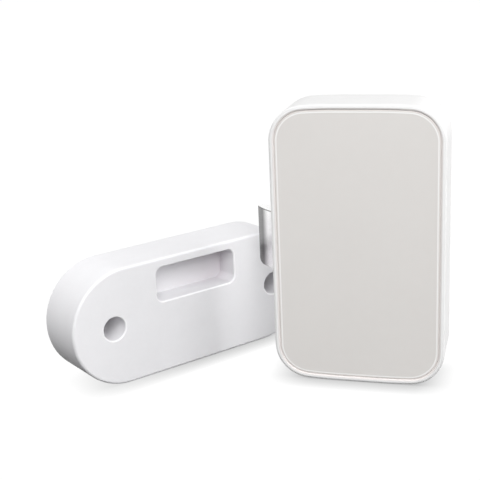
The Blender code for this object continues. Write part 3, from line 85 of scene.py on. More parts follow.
# Front panel
PANEL_INSET = 0.00161
PANEL_FRONT = 0.0003
PANEL_BACK = 0.0021
PANEL_ROUND = 0.0007
PANEL_DROP = 0.00036
# Width of the band at the panel's crest that carries a painted highlight
PANEL_LINE = 0.00022
PANEL_BACK_ROUND = 0.0002
TAB_WIDTH = 0.0060
TAB_THICKNESS = 0.0010
TAB_LENGTH = 0.0024
TAB_SPREAD = 0.0200
TAB_INSET = 0.0039
TAB_ROUND = 0.00025

# Bolt
BOLT_TIP_X = -0.0339
BOLT_BOTTOM = 0.0341
BOLT_HEIGHT = 0.0190
BOLT_FRONT = 0.0064
BOLT_THICKNESS = 0.0083
BOLT_LENGTH = 0.0190
BOLT_NOSE = 0.0066
BOLT_TIP_FLAT = 0.0012
BOLT_BULGE = 0.0004
BOLT_CORNER = 0.0016
BOLT_EDGE = 0.0003
# Painted dark reflection on the bolt's nose: where it starts to fade from the tip, how far it fades, the
# depth of the painted dark line below the top edge, and how far a face must turn to the front to take them
SHADE_START = 0.0021
SHADE_FADE = 0.0021
NOSE_LINE = 0.0005
NOSE_FACING = -0.3
STEM_END_X = -0.0005
STEM_RADIUS = 0.0016
WINDOW_GAP = 0.0003
WINDOW_ROUND = 0.0003

# Adhesive pads
BACK_PAD_FRONT = 0.0189
BACK_PAD_BACK = 0.0199
BACK_PAD_WIDTH = 0.0340
BACK_PAD_HEIGHT = 0.0600
BACK_PAD_CORNER = 0.0060
STRIKER_PAD_FRONT = 0.0190
STRIKER_PAD_BACK = 0.0198
STRIKER_PAD_INSET = 0.0020
PAD_HOLE_RADIUS = 0.0028
PAD_EDGE = 0.0003

# Striker
STRIKER_LENGTH = 0.0930
STRIKER_HEIGHT = 0.0388
STRIKER_DEPTH = 0.0187
STRIKER_ROUND = 0.0009
STRIKER_PLACE = (-0.05464, -0.00023, 0.0)
STRIKER_TURN = math.radians(51.7)
SLOT_WIDTH = 0.0307
SLOT_HEIGHT = 0.01165
SLOT_DEPTH = 0.0085
SLOT_BOTTOM = 0.0241
SLOT_CORNER = 0.0024
SLOT_MOUTH = 0.00045
HOLE_SPACING = 0.0634
HOLE_HEIGHT = 0.0195
COUNTERBORE_RADIUS = 0.0039
COUNTERBORE_FLOOR = 0.0030
HOLE_RADIUS = 0.0021
# Share of the slot's painted shade colour on the counterbores' floors
BORE_SHADE = 0.5

# Steps in each round or arc
CORNER_STEPS = 18
BOW_STEPS = 8
ROUND_STEPS = 6
SMALL_ROUND_STEPS = 3
NOSE_STEPS = 14
END_STEPS = 48
HOLE_STEPS = 48
BOSS_STEPS = 40
PILOT_STEPS = 32
BOLT_CORNER_STEPS = 64
BLOCK_STEPS = 4
MOUTH_STEPS = 4
EDGE_STEPS = 3
SLOT_STEPS = 10
PAD_STEPS = 12

# Angles between faces: where an edge counts as sharp, where it counts as flat, and at a mouth to soften
SMOOTH_ANGLE = math.radians(32)
FLAT_ANGLE = math.radians(1.0)
MOUTH_ANGLE = 0.6

# How alike two ways are when they count as parallel, and how fast the painted shade in the groove comes in
PARALLEL = 0.9
GROOVE_SHADE_SPREAD = 2.2

# Lengths for merging points, for finding a ring's points, and for cutting past a face
MERGE = 1e-6
LINE_REACH = 2e-5
MARGIN = 0.001

# The finish that each CAD node asks for
SLOTS = {row["node"]: row["material_slot"] for row in frame["record"]["subparts"]}


# Meshes

def depth(local):
    """Row y of a depth measured from the casing's front."""
    return LOCK_FRONT + local


def mirrored_ring(bm, made, middle_z, earlier):
    """Completes a quarter of a ring across x = 0 and across the height middle_z, and returns its edges."""
    about = Matrix.Translation((0, 0, -middle_z))
    for flip in ((-1, 1, 1), (1, 1, -1)):
        copied = bmesh.ops.duplicate(bm, geom=made)["geom"]
        verts = [item for item in copied if isinstance(item, bmesh.types.BMVert)]
        bmesh.ops.scale(bm, vec=flip, space=about, verts=verts)
        made = made + copied
    verts = [item for item in made if isinstance(item, bmesh.types.BMVert)]
    bmesh.ops.remove_doubles(bm, verts=verts, dist=MERGE)
    return [edge for edge in bm.edges if edge not in earlier]


def casing_ring(bm, inset, y):
    """One ring of the casing's outline, drawn in by inset, at row y."""
    earlier = set(bm.edges)
    half = LOCK_WIDTH / 2 - inset
    start = bm.verts.new((half, y, LOCK_HEIGHT / 2))
    corner = bm.verts.new((half, y, CORNER_Z))
    made = [start, corner, bm.edges.new((start, corner))]
    turns = (
        ((CORNER_X, y, CORNER_Z), math.pi / 2 - BOW_ANGLE, CORNER_STEPS),
        ((FOOT_FLAT / 2, y, LOCK_HEIGHT - BOW_RADIUS), BOW_ANGLE, BOW_STEPS),
    )
    last = corner
    for centre, angle, steps in turns:
        before = set(bm.edges)
        turned = bmesh.ops.spin(
            bm, geom=[last], cent=centre, axis=(0, -1, 0), angle=angle, steps=steps, use_duplicate=False
        )
        edges = [edge for edge in bm.edges if edge not in before]
        made += edges + [vert for edge in edges for vert in edge.verts if vert not in made]
        last = next(item for item in turned["geom_last"] if isinstance(item, bmesh.types.BMVert))
    top = bm.verts.new((0, y, last.co.z))
    made += [top, bm.edges.new((last, top))]
    return mirrored_ring(bm, list(dict.fromkeys(made)), LOCK_HEIGHT / 2, earlier)


def pill_ring(bm, inset, y):
    """One ring of the striker's outline, drawn in by inset, at depth y, in the striker's own frame."""
    radius = STRIKER_HEIGHT / 2 - inset
    middle = STRIKER_HEIGHT / 2
    end_x = STRIKER_LENGTH / 2 - STRIKER_HEIGHT / 2
    start = bm.verts.new((end_x + radius, y, middle))
    earlier = set(bm.edges)
    turned = bmesh.ops.spin(
        bm,
        geom=[start],
        cent=(end_x, y, middle),
        axis=(0, -1, 0),
        angle=math.pi / 2,
        steps=END_STEPS // 2,
        use_duplicate=False,
    )
    edges = [edge for edge in bm.edges if edge not in earlier]
    last = next(item for item in turned["geom_last"] if isinstance(item, bmesh.types.BMVert))
    top = bm.verts.new((0, y, last.co.z))
    edges.append(bm.edges.new((last, top)))
    verts = [vert for edge in edges for vert in edge.verts]
    return mirrored_ring(bm, list(dict.fromkeys(verts + edges)), middle, earlier)


def rounded(centre, radius, first, last, steps=ROUND_STEPS, drop=None):
    """Points of a round in a wall's section, as (inset, depth). Its depth is its radius, or drop."""
    points = []
    for step in range(steps + 1):
        angle = math.radians(first + (last - first) * step / steps)
        fall = (drop or radius) * math.sin(angle)
        points.append((centre[0] + radius * math.cos(angle), centre[1] + fall))
    return points


def casing_outward(place):
    """Which way the casing's outline faces at a place on it, or on the outline drawn in."""
    side = math.copysign(1, place.x)
    rise = math.copysign(1, place.z - LOCK_HEIGHT / 2)
    x = abs(place.x)
    z = LOCK_HEIGHT / 2 + abs(place.z - LOCK_HEIGHT / 2)
    if z <= CORNER_Z:
        return Vector((side, 0, 0))
    if x <= FOOT_FLAT / 2 + MERGE:
        return Vector((0, 0, rise))
    corner = Vector((x - CORNER_X, 0, z - CORNER_Z))
    bow = Vector((x - FOOT_FLAT / 2, 0, z - LOCK_HEIGHT + BOW_RADIUS))
    on_corner = math.atan2(corner.z, corner.x) < math.pi / 2 - BOW_ANGLE
    way = (corner if on_corner else bow).normalized()
    return Vector((side * way.x, 0, rise * way.z))


def pill_outward(place):
    """Which way the striker's outline faces at a place on it, or on the outline drawn in."""
    end_x = STRIKER_LENGTH / 2 - STRIKER_HEIGHT / 2
    height = place.z - STRIKER_HEIGHT / 2
    if abs(place.x) <= end_x:
        return Vector((0, 0, math.copysign(1, height)))
    return Vector((place.x - math.copysign(end_x, place.x), 0, height)).normalized()


def sweep(ring, outward, section, closed):
    """A body whose wall follows a section of (inset, depth) points all round an outline."""
    bm = bmesh.new()
    first = ring(bm, *section[0])
    edges = first
    steps = list(zip(section, section[1:]))
    if closed:
        steps.append((section[-1], section[0]))
    for (inset, y), (next_inset, next_y) in steps:
        drawn = bmesh.ops.extrude_edge_only(bm, edges=edges)["geom"]
        edges = [item for item in drawn if isinstance(item, bmesh.types.BMEdge)]
        for vert in [item for item in drawn if isinstance(item, bmesh.types.BMVert)]:
            vert.co += outward(vert.co) * (inset - next_inset)
            vert.co.y = next_y
    if closed:
        bmesh.ops.remove_doubles(bm, verts=bm.verts, dist=MERGE)
    else:
        for end in (first, edges):
            bmesh.ops.contextual_create(bm, geom=end)
    bmesh.ops.recalc_face_normals(bm, faces=bm.faces)
    return bm


def block(size, centre, edge_round=0.0, along=None, steps=BLOCK_STEPS):
    """A block with its edges rounded, or only those along one axis."""
    bm = bmesh.new()
    bmesh.ops.create_cube(bm, size=1.0)
    bmesh.ops.scale(bm, vec=size, verts=bm.verts)
    bmesh.ops.translate(bm, vec=centre, verts=bm.verts)
    edges = list(bm.edges)
    if along is not None:
        ways = {edge: (edge.verts[0].co - edge.verts[1].co).normalized() for edge in edges}
        edges = [edge for edge in edges if abs(ways[edge][along]) > PARALLEL]
    if edge_round:
        bmesh.ops.bevel(
            bm, geom=edges, offset=edge_round, segments=steps, profile=0.5, affect="EDGES", material=-1
        )
    return bm


def rod(radius, length, centre, axis, steps=HOLE_STEPS):
    """A round bar about the middle of its length, along "X", "Y" or "Z"."""
    bm = bmesh.new()
    bmesh.ops.create_cone(
        bm, cap_ends=True, segments=steps, radius1=radius, radius2=radius, depth=length
    )
    turn = {"X": Matrix.Rotation(math.pi / 2, 4, "Y"), "Y": Matrix.Rotation(math.pi / 2, 4, "X")}
    bmesh.ops.transform(bm, matrix=turn.get(axis, Matrix()), verts=bm.verts)
    bmesh.ops.translate(bm, vec=centre, verts=bm.verts)
    return bm


def object_from(name, bm):
    """A new object in the scene from a bmesh, which it frees."""
    mesh = bpy.data.meshes.new(name)
    bm.to_mesh(mesh)
    bm.free()
    made = bpy.data.objects.new(name, mesh)
    bpy.context.scene.collection.objects.link(made)
    return made


def combined(bm, tools):
    """The bmesh after each (operation, tool bmesh) has been joined to it or cut from it."""
    work = object_from("work", bm)
    helpers = []
    for operation, tool in tools:
        helper = object_from("tool", tool)
        helpers.append(helper)
        modifier = work.modifiers.new("join", "BOOLEAN")
        modifier.operation = operation
        modifier.solver = "EXACT"
        modifier.object = helper
    bpy.context.view_layer.update()
    graph = bpy.context.evaluated_depsgraph_get()
    result = bmesh.new()
    result.from_mesh(work.evaluated_get(graph).to_mesh())
    for helper in [work, *helpers]:
        mesh = helper.data
        bpy.data.objects.remove(helper)
        bpy.data.meshes.remove(mesh)
    bmesh.ops.remove_doubles(result, verts=result.verts, dist=MERGE)
    return result


def soften_mouth(bm, chosen, offset):
    """Rounds the edges that chosen picks by their two ends, and returns the faces of the rounds."""
    edges = [edge for edge in bm.edges if chosen(edge.verts[0].co, edge.verts[1].co)]
    edges = [edge for edge in edges if edge.is_manifold and edge.calc_face_angle(0) > MOUTH_ANGLE]
    rounded_off = bmesh.ops.bevel(
        bm, geom=edges, offset=offset, segments=MOUTH_STEPS, profile=0.5, affect="EDGES", material=-1
    )
    return rounded_off["faces"]


def cad_copy(node):
    """A merged copy of a CAD node's mesh, with its flat faces whole again."""
    bm = bmesh.new()
    bm.from_mesh(frame["nodes"][node].data)
    bmesh.ops.remove_doubles(bm, verts=bm.verts, dist=MERGE)
    bmesh.ops.dissolve_limit(
        bm, angle_limit=FLAT_ANGLE, verts=bm.verts, edges=bm.edges, use_dissolve_boundaries=False
    )
    return bm


# Materials

# Mottle: how much finer its second noise is and its share, and the noise at which each colour is full
MOTTLE_FINER = 6.5
MOTTLE_FINE_SHARE = 0.35
MOTTLE_DARK = 0.35
MOTTLE_LIGHT = 0.65

# Edge mask for wear and for painted edge light: its reach from an edge, the likeness of normals on a face
# and on a sharp edge, and its breaks
EDGE_MASK_WIDTH = 0.0004
EDGE_MASK_SAMPLES = 4
EDGE_MASK_FACE = 0.99
EDGE_MASK_EDGE = 0.80
EDGE_MASK_BREAKS = 900.0


def opaque(colour):
    """A colour with full alpha, as a shader's socket takes it."""
    return (*colour, 1.0)


def ramp(nodes, start, end):
    """A node that runs evenly from start to end, each an input and the value that it gives."""
    made = nodes.new("ShaderNodeMapRange")
    made.inputs["From Min"].default_value = start[0]
    made.inputs["To Min"].default_value = start[1]
    made.inputs["From Max"].default_value = end[0]
    made.inputs["To Max"].default_value = end[1]
    return made


def socket(group, name, kind, side, value=None):
    """Adds an input or an output to a node group."""
    made = group.interface.new_socket(name=name, in_out=side, socket_type=kind)
    if value is not None:
        made.default_value = value


def mottle_group():
    """Cloudy light and dark in a moulding or casting: two sizes of noise, as a value about 0.5."""
    group = bpy.data.node_groups.new("moulding_mottle", "ShaderNodeTree")
    socket(group, "Size", "NodeSocketFloat", "INPUT")
    socket(group, "Value", "NodeSocketFloat", "OUTPUT")
    nodes, links = group.nodes, group.links
    enter = nodes.new("NodeGroupInput")
    leave = nodes.new("NodeGroupOutput")
    place = nodes.new("ShaderNodeTexCoord")
    broad = nodes.new("ShaderNodeTexNoise")
    broad.inputs["Detail"].default_value = 3.0
    fine = nodes.new("ShaderNodeTexNoise")
    fine.inputs["Detail"].default_value = 2.0
    finer = nodes.new("ShaderNodeMath")
    finer.operation = "MULTIPLY"
    finer.inputs[1].default_value = MOTTLE_FINER
    blend = nodes.new("ShaderNodeMix")
    blend.inputs["Factor"].default_value = MOTTLE_FINE_SHARE
    links.new(enter.outputs["Size"], broad.inputs["Scale"])
    links.new(enter.outputs["Size"], finer.inputs[0])
    links.new(finer.outputs[0], fine.inputs["Scale"])
    for noise in (broad, fine):
        links.new(place.outputs["Object"], noise.inputs["Vector"])
    links.new(broad.outputs["Fac"], blend.inputs["A"])
    links.new(fine.outputs["Fac"], blend.inputs["B"])
    links.new(blend.outputs["Result"], leave.inputs["Value"])
    return group


def grain_group():
    """Fine surface grain: noise that may be drawn out along one axis, as a height."""
    group = bpy.data.node_groups.new("surface_grain", "ShaderNodeTree")
    socket(group, "Stretch", "NodeSocketVector", "INPUT")
    socket(group, "Size", "NodeSocketFloat", "INPUT")
    socket(group, "Height", "NodeSocketFloat", "OUTPUT")
    nodes, links = group.nodes, group.links
    enter = nodes.new("NodeGroupInput")
    leave = nodes.new("NodeGroupOutput")
    place = nodes.new("ShaderNodeTexCoord")
    drawn = nodes.new("ShaderNodeVectorMath")
    drawn.operation = "MULTIPLY"
    noise = nodes.new("ShaderNodeTexNoise")
    noise.inputs["Detail"].default_value = 2.0
    noise.inputs["Roughness"].default_value = 0.6
    links.new(place.outputs["Object"], drawn.inputs[0])
    links.new(enter.outputs["Stretch"], drawn.inputs[1])
    links.new(drawn.outputs[0], noise.inputs["Vector"])
    links.new(enter.outputs["Size"], noise.inputs["Scale"])
    links.new(noise.outputs["Fac"], leave.inputs["Height"])
    return group


def edge_mask_group():
    """How far a spot lies on a sharp outer edge, broken up by noise: 0 on a face, 1 on a sharp edge. It
    carries wear on most finishes and painted edge light on the panel and the bolt.
    """
    group = bpy.data.node_groups.new("edge_wear_and_painted_light_mask", "ShaderNodeTree")
    socket(group, "Width", "NodeSocketFloat", "INPUT", EDGE_MASK_WIDTH)
    socket(group, "Mask", "NodeSocketFloat", "OUTPUT")
    nodes, links = group.nodes, group.links
    enter = nodes.new("NodeGroupInput")
    leave = nodes.new("NodeGroupOutput")
    softened = nodes.new("ShaderNodeBevel")
    softened.samples = EDGE_MASK_SAMPLES
    true_face = nodes.new("ShaderNodeNewGeometry")
    alike = nodes.new("ShaderNodeVectorMath")
    alike.operation = "DOT_PRODUCT"
    edge = ramp(nodes, (EDGE_MASK_FACE, 0.0), (EDGE_MASK_EDGE, 1.0))
    place = nodes.new("ShaderNodeTexCoord")
    noise = nodes.new("ShaderNodeTexNoise")
    noise.inputs["Scale"].default_value = EDGE_MASK_BREAKS
    broken = nodes.new("ShaderNodeMath")
    broken.operation = "MULTIPLY"
    links.new(enter.outputs["Width"], softened.inputs["Radius"])
    links.new(softened.outputs["Normal"], alike.inputs[0])
    links.new(true_face.outputs["Normal"], alike.inputs[1])
    links.new(alike.outputs["Value"], edge.inputs["Value"])
    links.new(place.outputs["Object"], noise.inputs["Vector"])
    links.new(edge.outputs["Result"], broken.inputs[0])
    links.new(noise.outputs["Fac"], broken.inputs[1])
    links.new(broken.outputs[0], leave.inputs["Mask"])
    return group


MOTTLE = mottle_group()
GRAIN = grain_group()
EDGE_MASK = edge_mask_group()


def finish_of(
    name,
    dark,
    light,
    edge_wear_and_painted_light,
    rough,
    grain_size,
    grain_depth,
    metal=0.0,
    mottle_size=140.0,
    stretch=(1.0, 1.0, 1.0),
    specular=0.5,
    coat=0.0,
    marks=(),
):
    """A material from two near colours, an edge colour, a range of roughness and a grain.

    Each mark is a mesh attribute and the colour that shows where the attribute is 1. The edge colour is
    wear on most finishes, a painted highlight on the panel's edges and a painted dark reflection on the
    bolt's edges; the marks paint shade, highlights and dark reflections.
    """
    material = bpy.data.materials.new(name)
    material.use_nodes = True
    nodes, links = material.node_tree.nodes, material.node_tree.links
    shader = nodes["Principled BSDF"]
    shader.inputs["Metallic"].default_value = metal
    shader.inputs["Specular IOR Level"].default_value = specular
    shader.inputs["Coat Weight"].default_value = coat
    mottle = nodes.new("ShaderNodeGroup")
    mottle.node_tree = MOTTLE
    mottle.inputs["Size"].default_value = mottle_size
    spread = ramp(nodes, (MOTTLE_DARK, 0.0), (MOTTLE_LIGHT, 1.0))
    links.new(mottle.outputs["Value"], spread.inputs["Value"])
    colour = nodes.new("ShaderNodeMix")
    colour.data_type = "RGBA"
    colour.inputs["A"].default_value = opaque(dark)
    colour.inputs["B"].default_value = opaque(light)
    links.new(spread.outputs["Result"], colour.inputs["Factor"])
    edge_node = nodes.new("ShaderNodeGroup")
    edge_node.node_tree = EDGE_MASK
    layers = [(edge_node.outputs["Mask"], edge_wear_and_painted_light)]
    for attribute, mark in marks:
        marked = nodes.new("ShaderNodeAttribute")
        marked.attribute_name = attribute
        layers.append((marked.outputs["Fac"], mark))
    last_colour = colour.outputs["Result"]
    for share, layer_colour in layers:
        layer = nodes.new("ShaderNodeMix")
        layer.data_type = "RGBA"
        layer.inputs["B"].default_value = opaque(layer_colour)
        links.new(last_colour, layer.inputs["A"])
        links.new(share, layer.inputs["Factor"])
        last_colour = layer.outputs["Result"]
    links.new(last_colour, shader.inputs["Base Color"])
    grain = nodes.new("ShaderNodeGroup")
    grain.node_tree = GRAIN
    grain.inputs["Size"].default_value = grain_size
    grain.inputs["Stretch"].default_value = stretch
    roughness = ramp(nodes, (0.0, rough[0]), (1.0, rough[1]))
    links.new(grain.outputs["Height"], roughness.inputs["Value"])
    links.new(roughness.outputs["Result"], shader.inputs["Roughness"])
    bump = nodes.new("ShaderNodeBump")
    bump.inputs["Distance"].default_value = grain_depth
    bump.inputs["Strength"].default_value = 1.0
    links.new(grain.outputs["Height"], bump.inputs["Height"])
    links.new(bump.outputs["Normal"], shader.inputs["Normal"])
    return material


def grey(level, warmth=0.0):
    """A grey, or a warm one, as red, green and blue."""
    return (level * (1 + warmth), level, level * (1 - warmth))


# The finish of each slot
FINISHES = {
    "shell_white": finish_of(
        "shell_white_plastic",
        dark=grey(0.825, 0.002),
        light=grey(0.845, 0.002),
        edge_wear_and_painted_light=grey(0.88),
        rough=(0.46, 0.58),
        grain_size=2600,
        grain_depth=2e-6,
        specular=0.05,
        # The marks paint shade down the groove's slope and a highlight along the rim's crest.
        marks=(("groove", (0.82, 0.785, 0.77)), ("painted_highlight_line", grey(0.96))),
    ),
    "panel_grey": finish_of(
        "panel_grey_plastic",
        dark=(0.750, 0.728, 0.706),
        light=(0.762, 0.740, 0.718),
        # The edge colour paints a highlight on the panel's sharp edges; the marks paint shade in the
        # groove and a highlight along the panel's crest.
        edge_wear_and_painted_light=(0.84, 0.825, 0.81),
        rough=(0.40, 0.52),
        grain_size=3200,
        grain_depth=3e-6,
        mottle_size=60.0,
        specular=0.35,
        marks=(("groove", (0.75, 0.71, 0.69)), ("painted_highlight_line", (0.95, 0.94, 0.93))),
    ),
    "striker_white": finish_of(
        "striker_white_plastic",
        dark=(0.842, 0.838, 0.856),
        light=(0.862, 0.858, 0.876),
        edge_wear_and_painted_light=(0.90, 0.895, 0.91),
        rough=(0.44, 0.56),
        grain_size=2600,
        grain_depth=3e-6,
        specular=0.06,
        # The marks paint shade inside the slot and the counterbores, and a highlight on the softened
        # mouths of the slot and holes.
        marks=(("slot", (0.66, 0.63, 0.66)), ("painted_mouth_highlight", (0.97, 0.965, 0.98))),
    ),
    "bolt_metal": finish_of(
        "polished_bolt",
        dark=grey(0.94, 0.004),
        light=grey(0.96, 0.004),
        # The edge colour paints dark reflections along the bolt's sharp edges.
        edge_wear_and_painted_light=grey(0.30),
        rough=(0.22, 0.30),
        grain_size=900,
        grain_depth=1e-7,
        metal=1.0,
        stretch=(6.0, 6.0, 0.4),
        # The marks paint a dark reflection across the nose and a darker line along its tip and top edges.
        marks=(("painted_nose_reflection", grey(0.23, 0.004)), ("painted_dark_edge_line", grey(0.06))),
    ),
    "steel": finish_of(
        "plated_steel",
        dark=grey(0.52),
        light=grey(0.62),
        edge_wear_and_painted_light=grey(0.75),
        rough=(0.24, 0.40),
        grain_size=1800,
        grain_depth=2e-6,
        metal=1.0,
    ),
    "nickel": finish_of(
        "nickel_plate",
        dark=(0.655, 0.635, 0.595),
        light=(0.68, 0.66, 0.62),
        edge_wear_and_painted_light=(0.78, 0.76, 0.71),
        rough=(0.20, 0.30),
        grain_size=1500,
        grain_depth=2e-6,
        metal=1.0,
        stretch=(0.6, 5.0, 5.0),
    ),
    "brass": finish_of(
        "turned_brass",
        dark=(0.70, 0.50, 0.22),
        light=(0.80, 0.60, 0.30),
        edge_wear_and_painted_light=(0.86, 0.70, 0.42),
        rough=(0.22, 0.36),
        grain_size=1600,
        grain_depth=2e-6,
        metal=1.0,
        stretch=(5.0, 0.6, 0.6),
    ),
    "acetal": finish_of(
        "natural_acetal",
        dark=(0.74, 0.73, 0.69),
        light=(0.79, 0.78, 0.74),
        edge_wear_and_painted_light=grey(0.84),
        rough=(0.30, 0.42),
        grain_size=2400,
        grain_depth=3e-6,
    ),
    "black_nylon": finish_of(
        "moulded_black_nylon",
        dark=grey(0.020),
        light=grey(0.032),
        edge_wear_and_painted_light=grey(0.07),
        rough=(0.42, 0.60),
        grain_size=2200,
        grain_depth=5e-6,
    ),
    "grey_nylon": finish_of(
        "moulded_grey_nylon",
        dark=grey(0.40),
        light=grey(0.46),
        edge_wear_and_painted_light=grey(0.58),
        rough=(0.42, 0.60),
        grain_size=2200,
        grain_depth=5e-6,
    ),
    "cell_jacket": finish_of(
        "wrapped_cell_jacket",
        dark=(0.055, 0.075, 0.095),
        light=(0.075, 0.098, 0.12),
        edge_wear_and_painted_light=grey(0.20),
        rough=(0.22, 0.34),
        grain_size=1400,
        grain_depth=2e-6,
        coat=0.4,
    ),
    "board_green": finish_of(
        "board_green_lacquer",
        dark=(0.012, 0.085, 0.040),
        light=(0.020, 0.125, 0.060),
        edge_wear_and_painted_light=(0.30, 0.34, 0.18),
        rough=(0.28, 0.44),
        grain_size=1700,
        grain_depth=3e-6,
        mottle_size=420.0,
    ),
    "black_case": finish_of(
        "moulded_black_case",
        dark=grey(0.016),
        light=grey(0.026),
        edge_wear_and_painted_light=grey(0.06),
        rough=(0.36, 0.52),
        grain_size=2600,
        grain_depth=3e-6,
    ),
    "lead_red": finish_of(
        "red_lead",
        dark=(0.42, 0.020, 0.018),
        light=(0.52, 0.032, 0.026),
        edge_wear_and_painted_light=(0.62, 0.09, 0.07),
        rough=(0.34, 0.46),
        grain_size=1500,
        grain_depth=3e-6,
    ),
    "lead_black": finish_of(
        "black_lead",
        dark=grey(0.018),
        light=grey(0.028),
        edge_wear_and_painted_light=grey(0.06),
        rough=(0.34, 0.46),
        grain_size=1500,
        grain_depth=3e-6,
    ),
    "foam": finish_of(
        "adhesive_foam",
        dark=grey(0.66, 0.006),
        light=grey(0.76, 0.006),
        edge_wear_and_painted_light=grey(0.82),
        rough=(0.70, 0.92),
        grain_size=3800,
        grain_depth=3e-5,
        mottle_size=900.0,
    ),
}


# Pieces

def finish_piece(name, bm, body, node, edge_round=0.0):
    """Puts a piece in the scene, smooth but for its sharp edges, in the place of its CAD node."""
    slot = SLOTS[node]
    made = object_from(name, bm)
    made.data.materials.append(FINISHES[slot])
    for polygon in made.data.polygons:
        polygon.material_index = 0
    made.data.shade_smooth()
    made.data.set_sharp_from_angle(angle=SMOOTH_ANGLE)
    if edge_round:
        bevel = made.modifiers.new("edge_round", "BEVEL")
        bevel.width = edge_round
        bevel.segments = EDGE_STEPS
        bevel.limit_method = "ANGLE"
        bevel.angle_limit = SMOOTH_ANGLE
        bevel.use_clamp_overlap = True
        bevel.harden_normals = False
    weighted = made.modifiers.new("flat_faces", "WEIGHTED_NORMAL")
    weighted.keep_sharp = True
    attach(made, body)
    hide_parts(node)
    return made


def bolt_window():
    """The cutter for the bolt's window in the casing's left wall."""
    gap = 2 * WINDOW_GAP
    size = (WALL + 2 * MARGIN, BOLT_THICKNESS + gap, BOLT_HEIGHT + gap)
    middle = (
        -LOCK_WIDTH / 2 + WALL / 2,
        depth(BOLT_FRONT + BOLT_THICKNESS / 2),
        BOLT_BOTTOM + BOLT_HEIGHT / 2,
    )
    return block(size, middle, WINDOW_ROUND, along=0)


def casing_inset(place):
    """How far a place lies inside the casing's outline."""
    outward = casing_outward(place)
    if abs(outward.x) == 1:
        return LOCK_WIDTH / 2 - abs(place.x)
    if abs(outward.z) == 1:
        return LOCK_HEIGHT / 2 - abs(place.z - LOCK_HEIGHT / 2)
    x = abs(place.x)
    z = LOCK_HEIGHT / 2 + abs(place.z - LOCK_HEIGHT / 2)
    to_corner = math.hypot(x - CORNER_X, z - CORNER_Z)
    to_bow = math.hypot(x - FOOT_FLAT / 2, z - LOCK_HEIGHT + BOW_RADIUS)
    on_corner = math.atan2(z - CORNER_Z, x - CORNER_X) < math.pi / 2 - BOW_ANGLE
    return CORNER_RADIUS - to_corner if on_corner else BOW_RADIUS - to_bow


def mark_rings(bm, name, rings):
    """Writes an attribute: the value given with each section point on its ring, and 0 elsewhere."""
    layer = bm.verts.layers.float.new(name)
    for vert in bm.verts:
        inset = casing_inset(vert.co)
        for (ring_inset, ring_y), value in rings:
            if abs(inset - ring_inset) < LINE_REACH and abs(vert.co.y - ring_y) < LINE_REACH:
                vert[layer] = value


def groove_shade_rings(points):
    """The painted shade in the groove at each point of a round, from 0 at its first to 1 from about its
    middle on.
    """
    last = len(points) - 1
    return [(point, min(1.0, GROOVE_SHADE_SPREAD * index / last)) for index, point in enumerate(points)]


def make_housing():
    """The shell: its rim, the groove's outer side, the ledge behind the panel and the screw bosses."""
    front_round = rounded((RIM_ROUND, depth(RIM_DROP)), RIM_ROUND, 180, 270, drop=RIM_DROP)
    reach = RIM_INNER_ROUND * math.cos(math.radians(GROOVE_STEEP))
    inner_middle = (WALL - reach, depth(RIM_INNER_DROP))
    inner_round = rounded(inner_middle, RIM_INNER_ROUND, 270, 360 - GROOVE_STEEP, drop=RIM_INNER_DROP)
    inner_corner = (WALL - BACK_INNER_ROUND, depth(LOCK_DEPTH - BACK_INNER_ROUND))
    back_inner = rounded(inner_corner, BACK_INNER_ROUND, 0, 90, SMALL_ROUND_STEPS)
    back_round = rounded((BACK_ROUND, depth(LOCK_DEPTH - BACK_ROUND)), BACK_ROUND, 90, 180)
    ledge = [
        (WALL, depth(LEDGE_FRONT)),
        (LEDGE_REACH, depth(LEDGE_FRONT)),
        (LEDGE_REACH, depth(LEDGE_BACK)),
        (WALL, depth(LEDGE_BACK)),
    ]
    section = front_round + inner_round + ledge + back_inner + back_round
    tools = [("DIFFERENCE", bolt_window())]
    middle = depth((BOSS_FRONT + BOSS_BACK) / 2)
    length = BOSS_BACK - BOSS_FRONT
    for x in (-BOSS_X, BOSS_X):
        for z in (BOSS_Z, LOCK_HEIGHT - BOSS_Z):
            place = (x, middle, z)
            tools.append(("UNION", rod(BOSS_RADIUS, length, place, "Y", BOSS_STEPS)))
            tools.append(("DIFFERENCE", rod(PILOT_RADIUS, length + MARGIN, place, "Y", PILOT_STEPS)))
    bm = combined(sweep(casing_ring, casing_outward, section, True), tools)
    # Painted shade down the groove's slope, and a painted highlight along the rim's crest.
    mark_rings(bm, "groove", groove_shade_rings(inner_round))
    mark_rings(bm, "painted_highlight_line", [(front_round[-1], 1.0), (inner_round[0], 1.0)])
    finish_piece("housing_shell", bm, "lock", "housing")


def make_front_panel():
    """The panel with the groove's inner side round it, and four tabs behind it."""
    reach = PANEL_ROUND * math.cos(math.radians(GROOVE_STEEP))
    front_middle = (PANEL_INSET + reach, depth(PANEL_FRONT + PANEL_DROP))
    front_round = rounded(front_middle, PANEL_ROUND, 180 + GROOVE_STEEP, 270, drop=PANEL_DROP)
    back_corner = (PANEL_INSET + PANEL_BACK_ROUND, depth(PANEL_BACK - PANEL_BACK_ROUND))
    back_round = rounded(back_corner, PANEL_BACK_ROUND, 90, 180, SMALL_ROUND_STEPS)
    tabs = []
    for x in (-TAB_SPREAD / 2, TAB_SPREAD / 2):
        for z in (TAB_INSET, LOCK_HEIGHT - TAB_INSET):
            middle = (x, depth(PANEL_BACK + TAB_LENGTH / 2 - TAB_ROUND), z)
            size = (TAB_WIDTH, TAB_LENGTH + 2 * TAB_ROUND, TAB_THICKNESS)
            tabs.append(("UNION", block(size, middle, TAB_ROUND)))
    crest = front_round[-1]
    line_end = (crest[0] + PANEL_LINE, crest[1])
    face = (crest[0] + 2 * PANEL_LINE, crest[1])
    section = back_round + front_round + [line_end, face]
    bm = combined(sweep(casing_ring, casing_outward, section, False), tabs)
    # A painted highlight along the panel's crest, and painted shade down the groove's slope.
    mark_rings(bm, "painted_highlight_line", [(crest, 1.0), (line_end, 1.0)])
    mark_rings(bm, "groove", groove_shade_rings(front_round[::-1]))
    finish_piece("front_panel_cover", bm, "battery_cover", "front_panel")


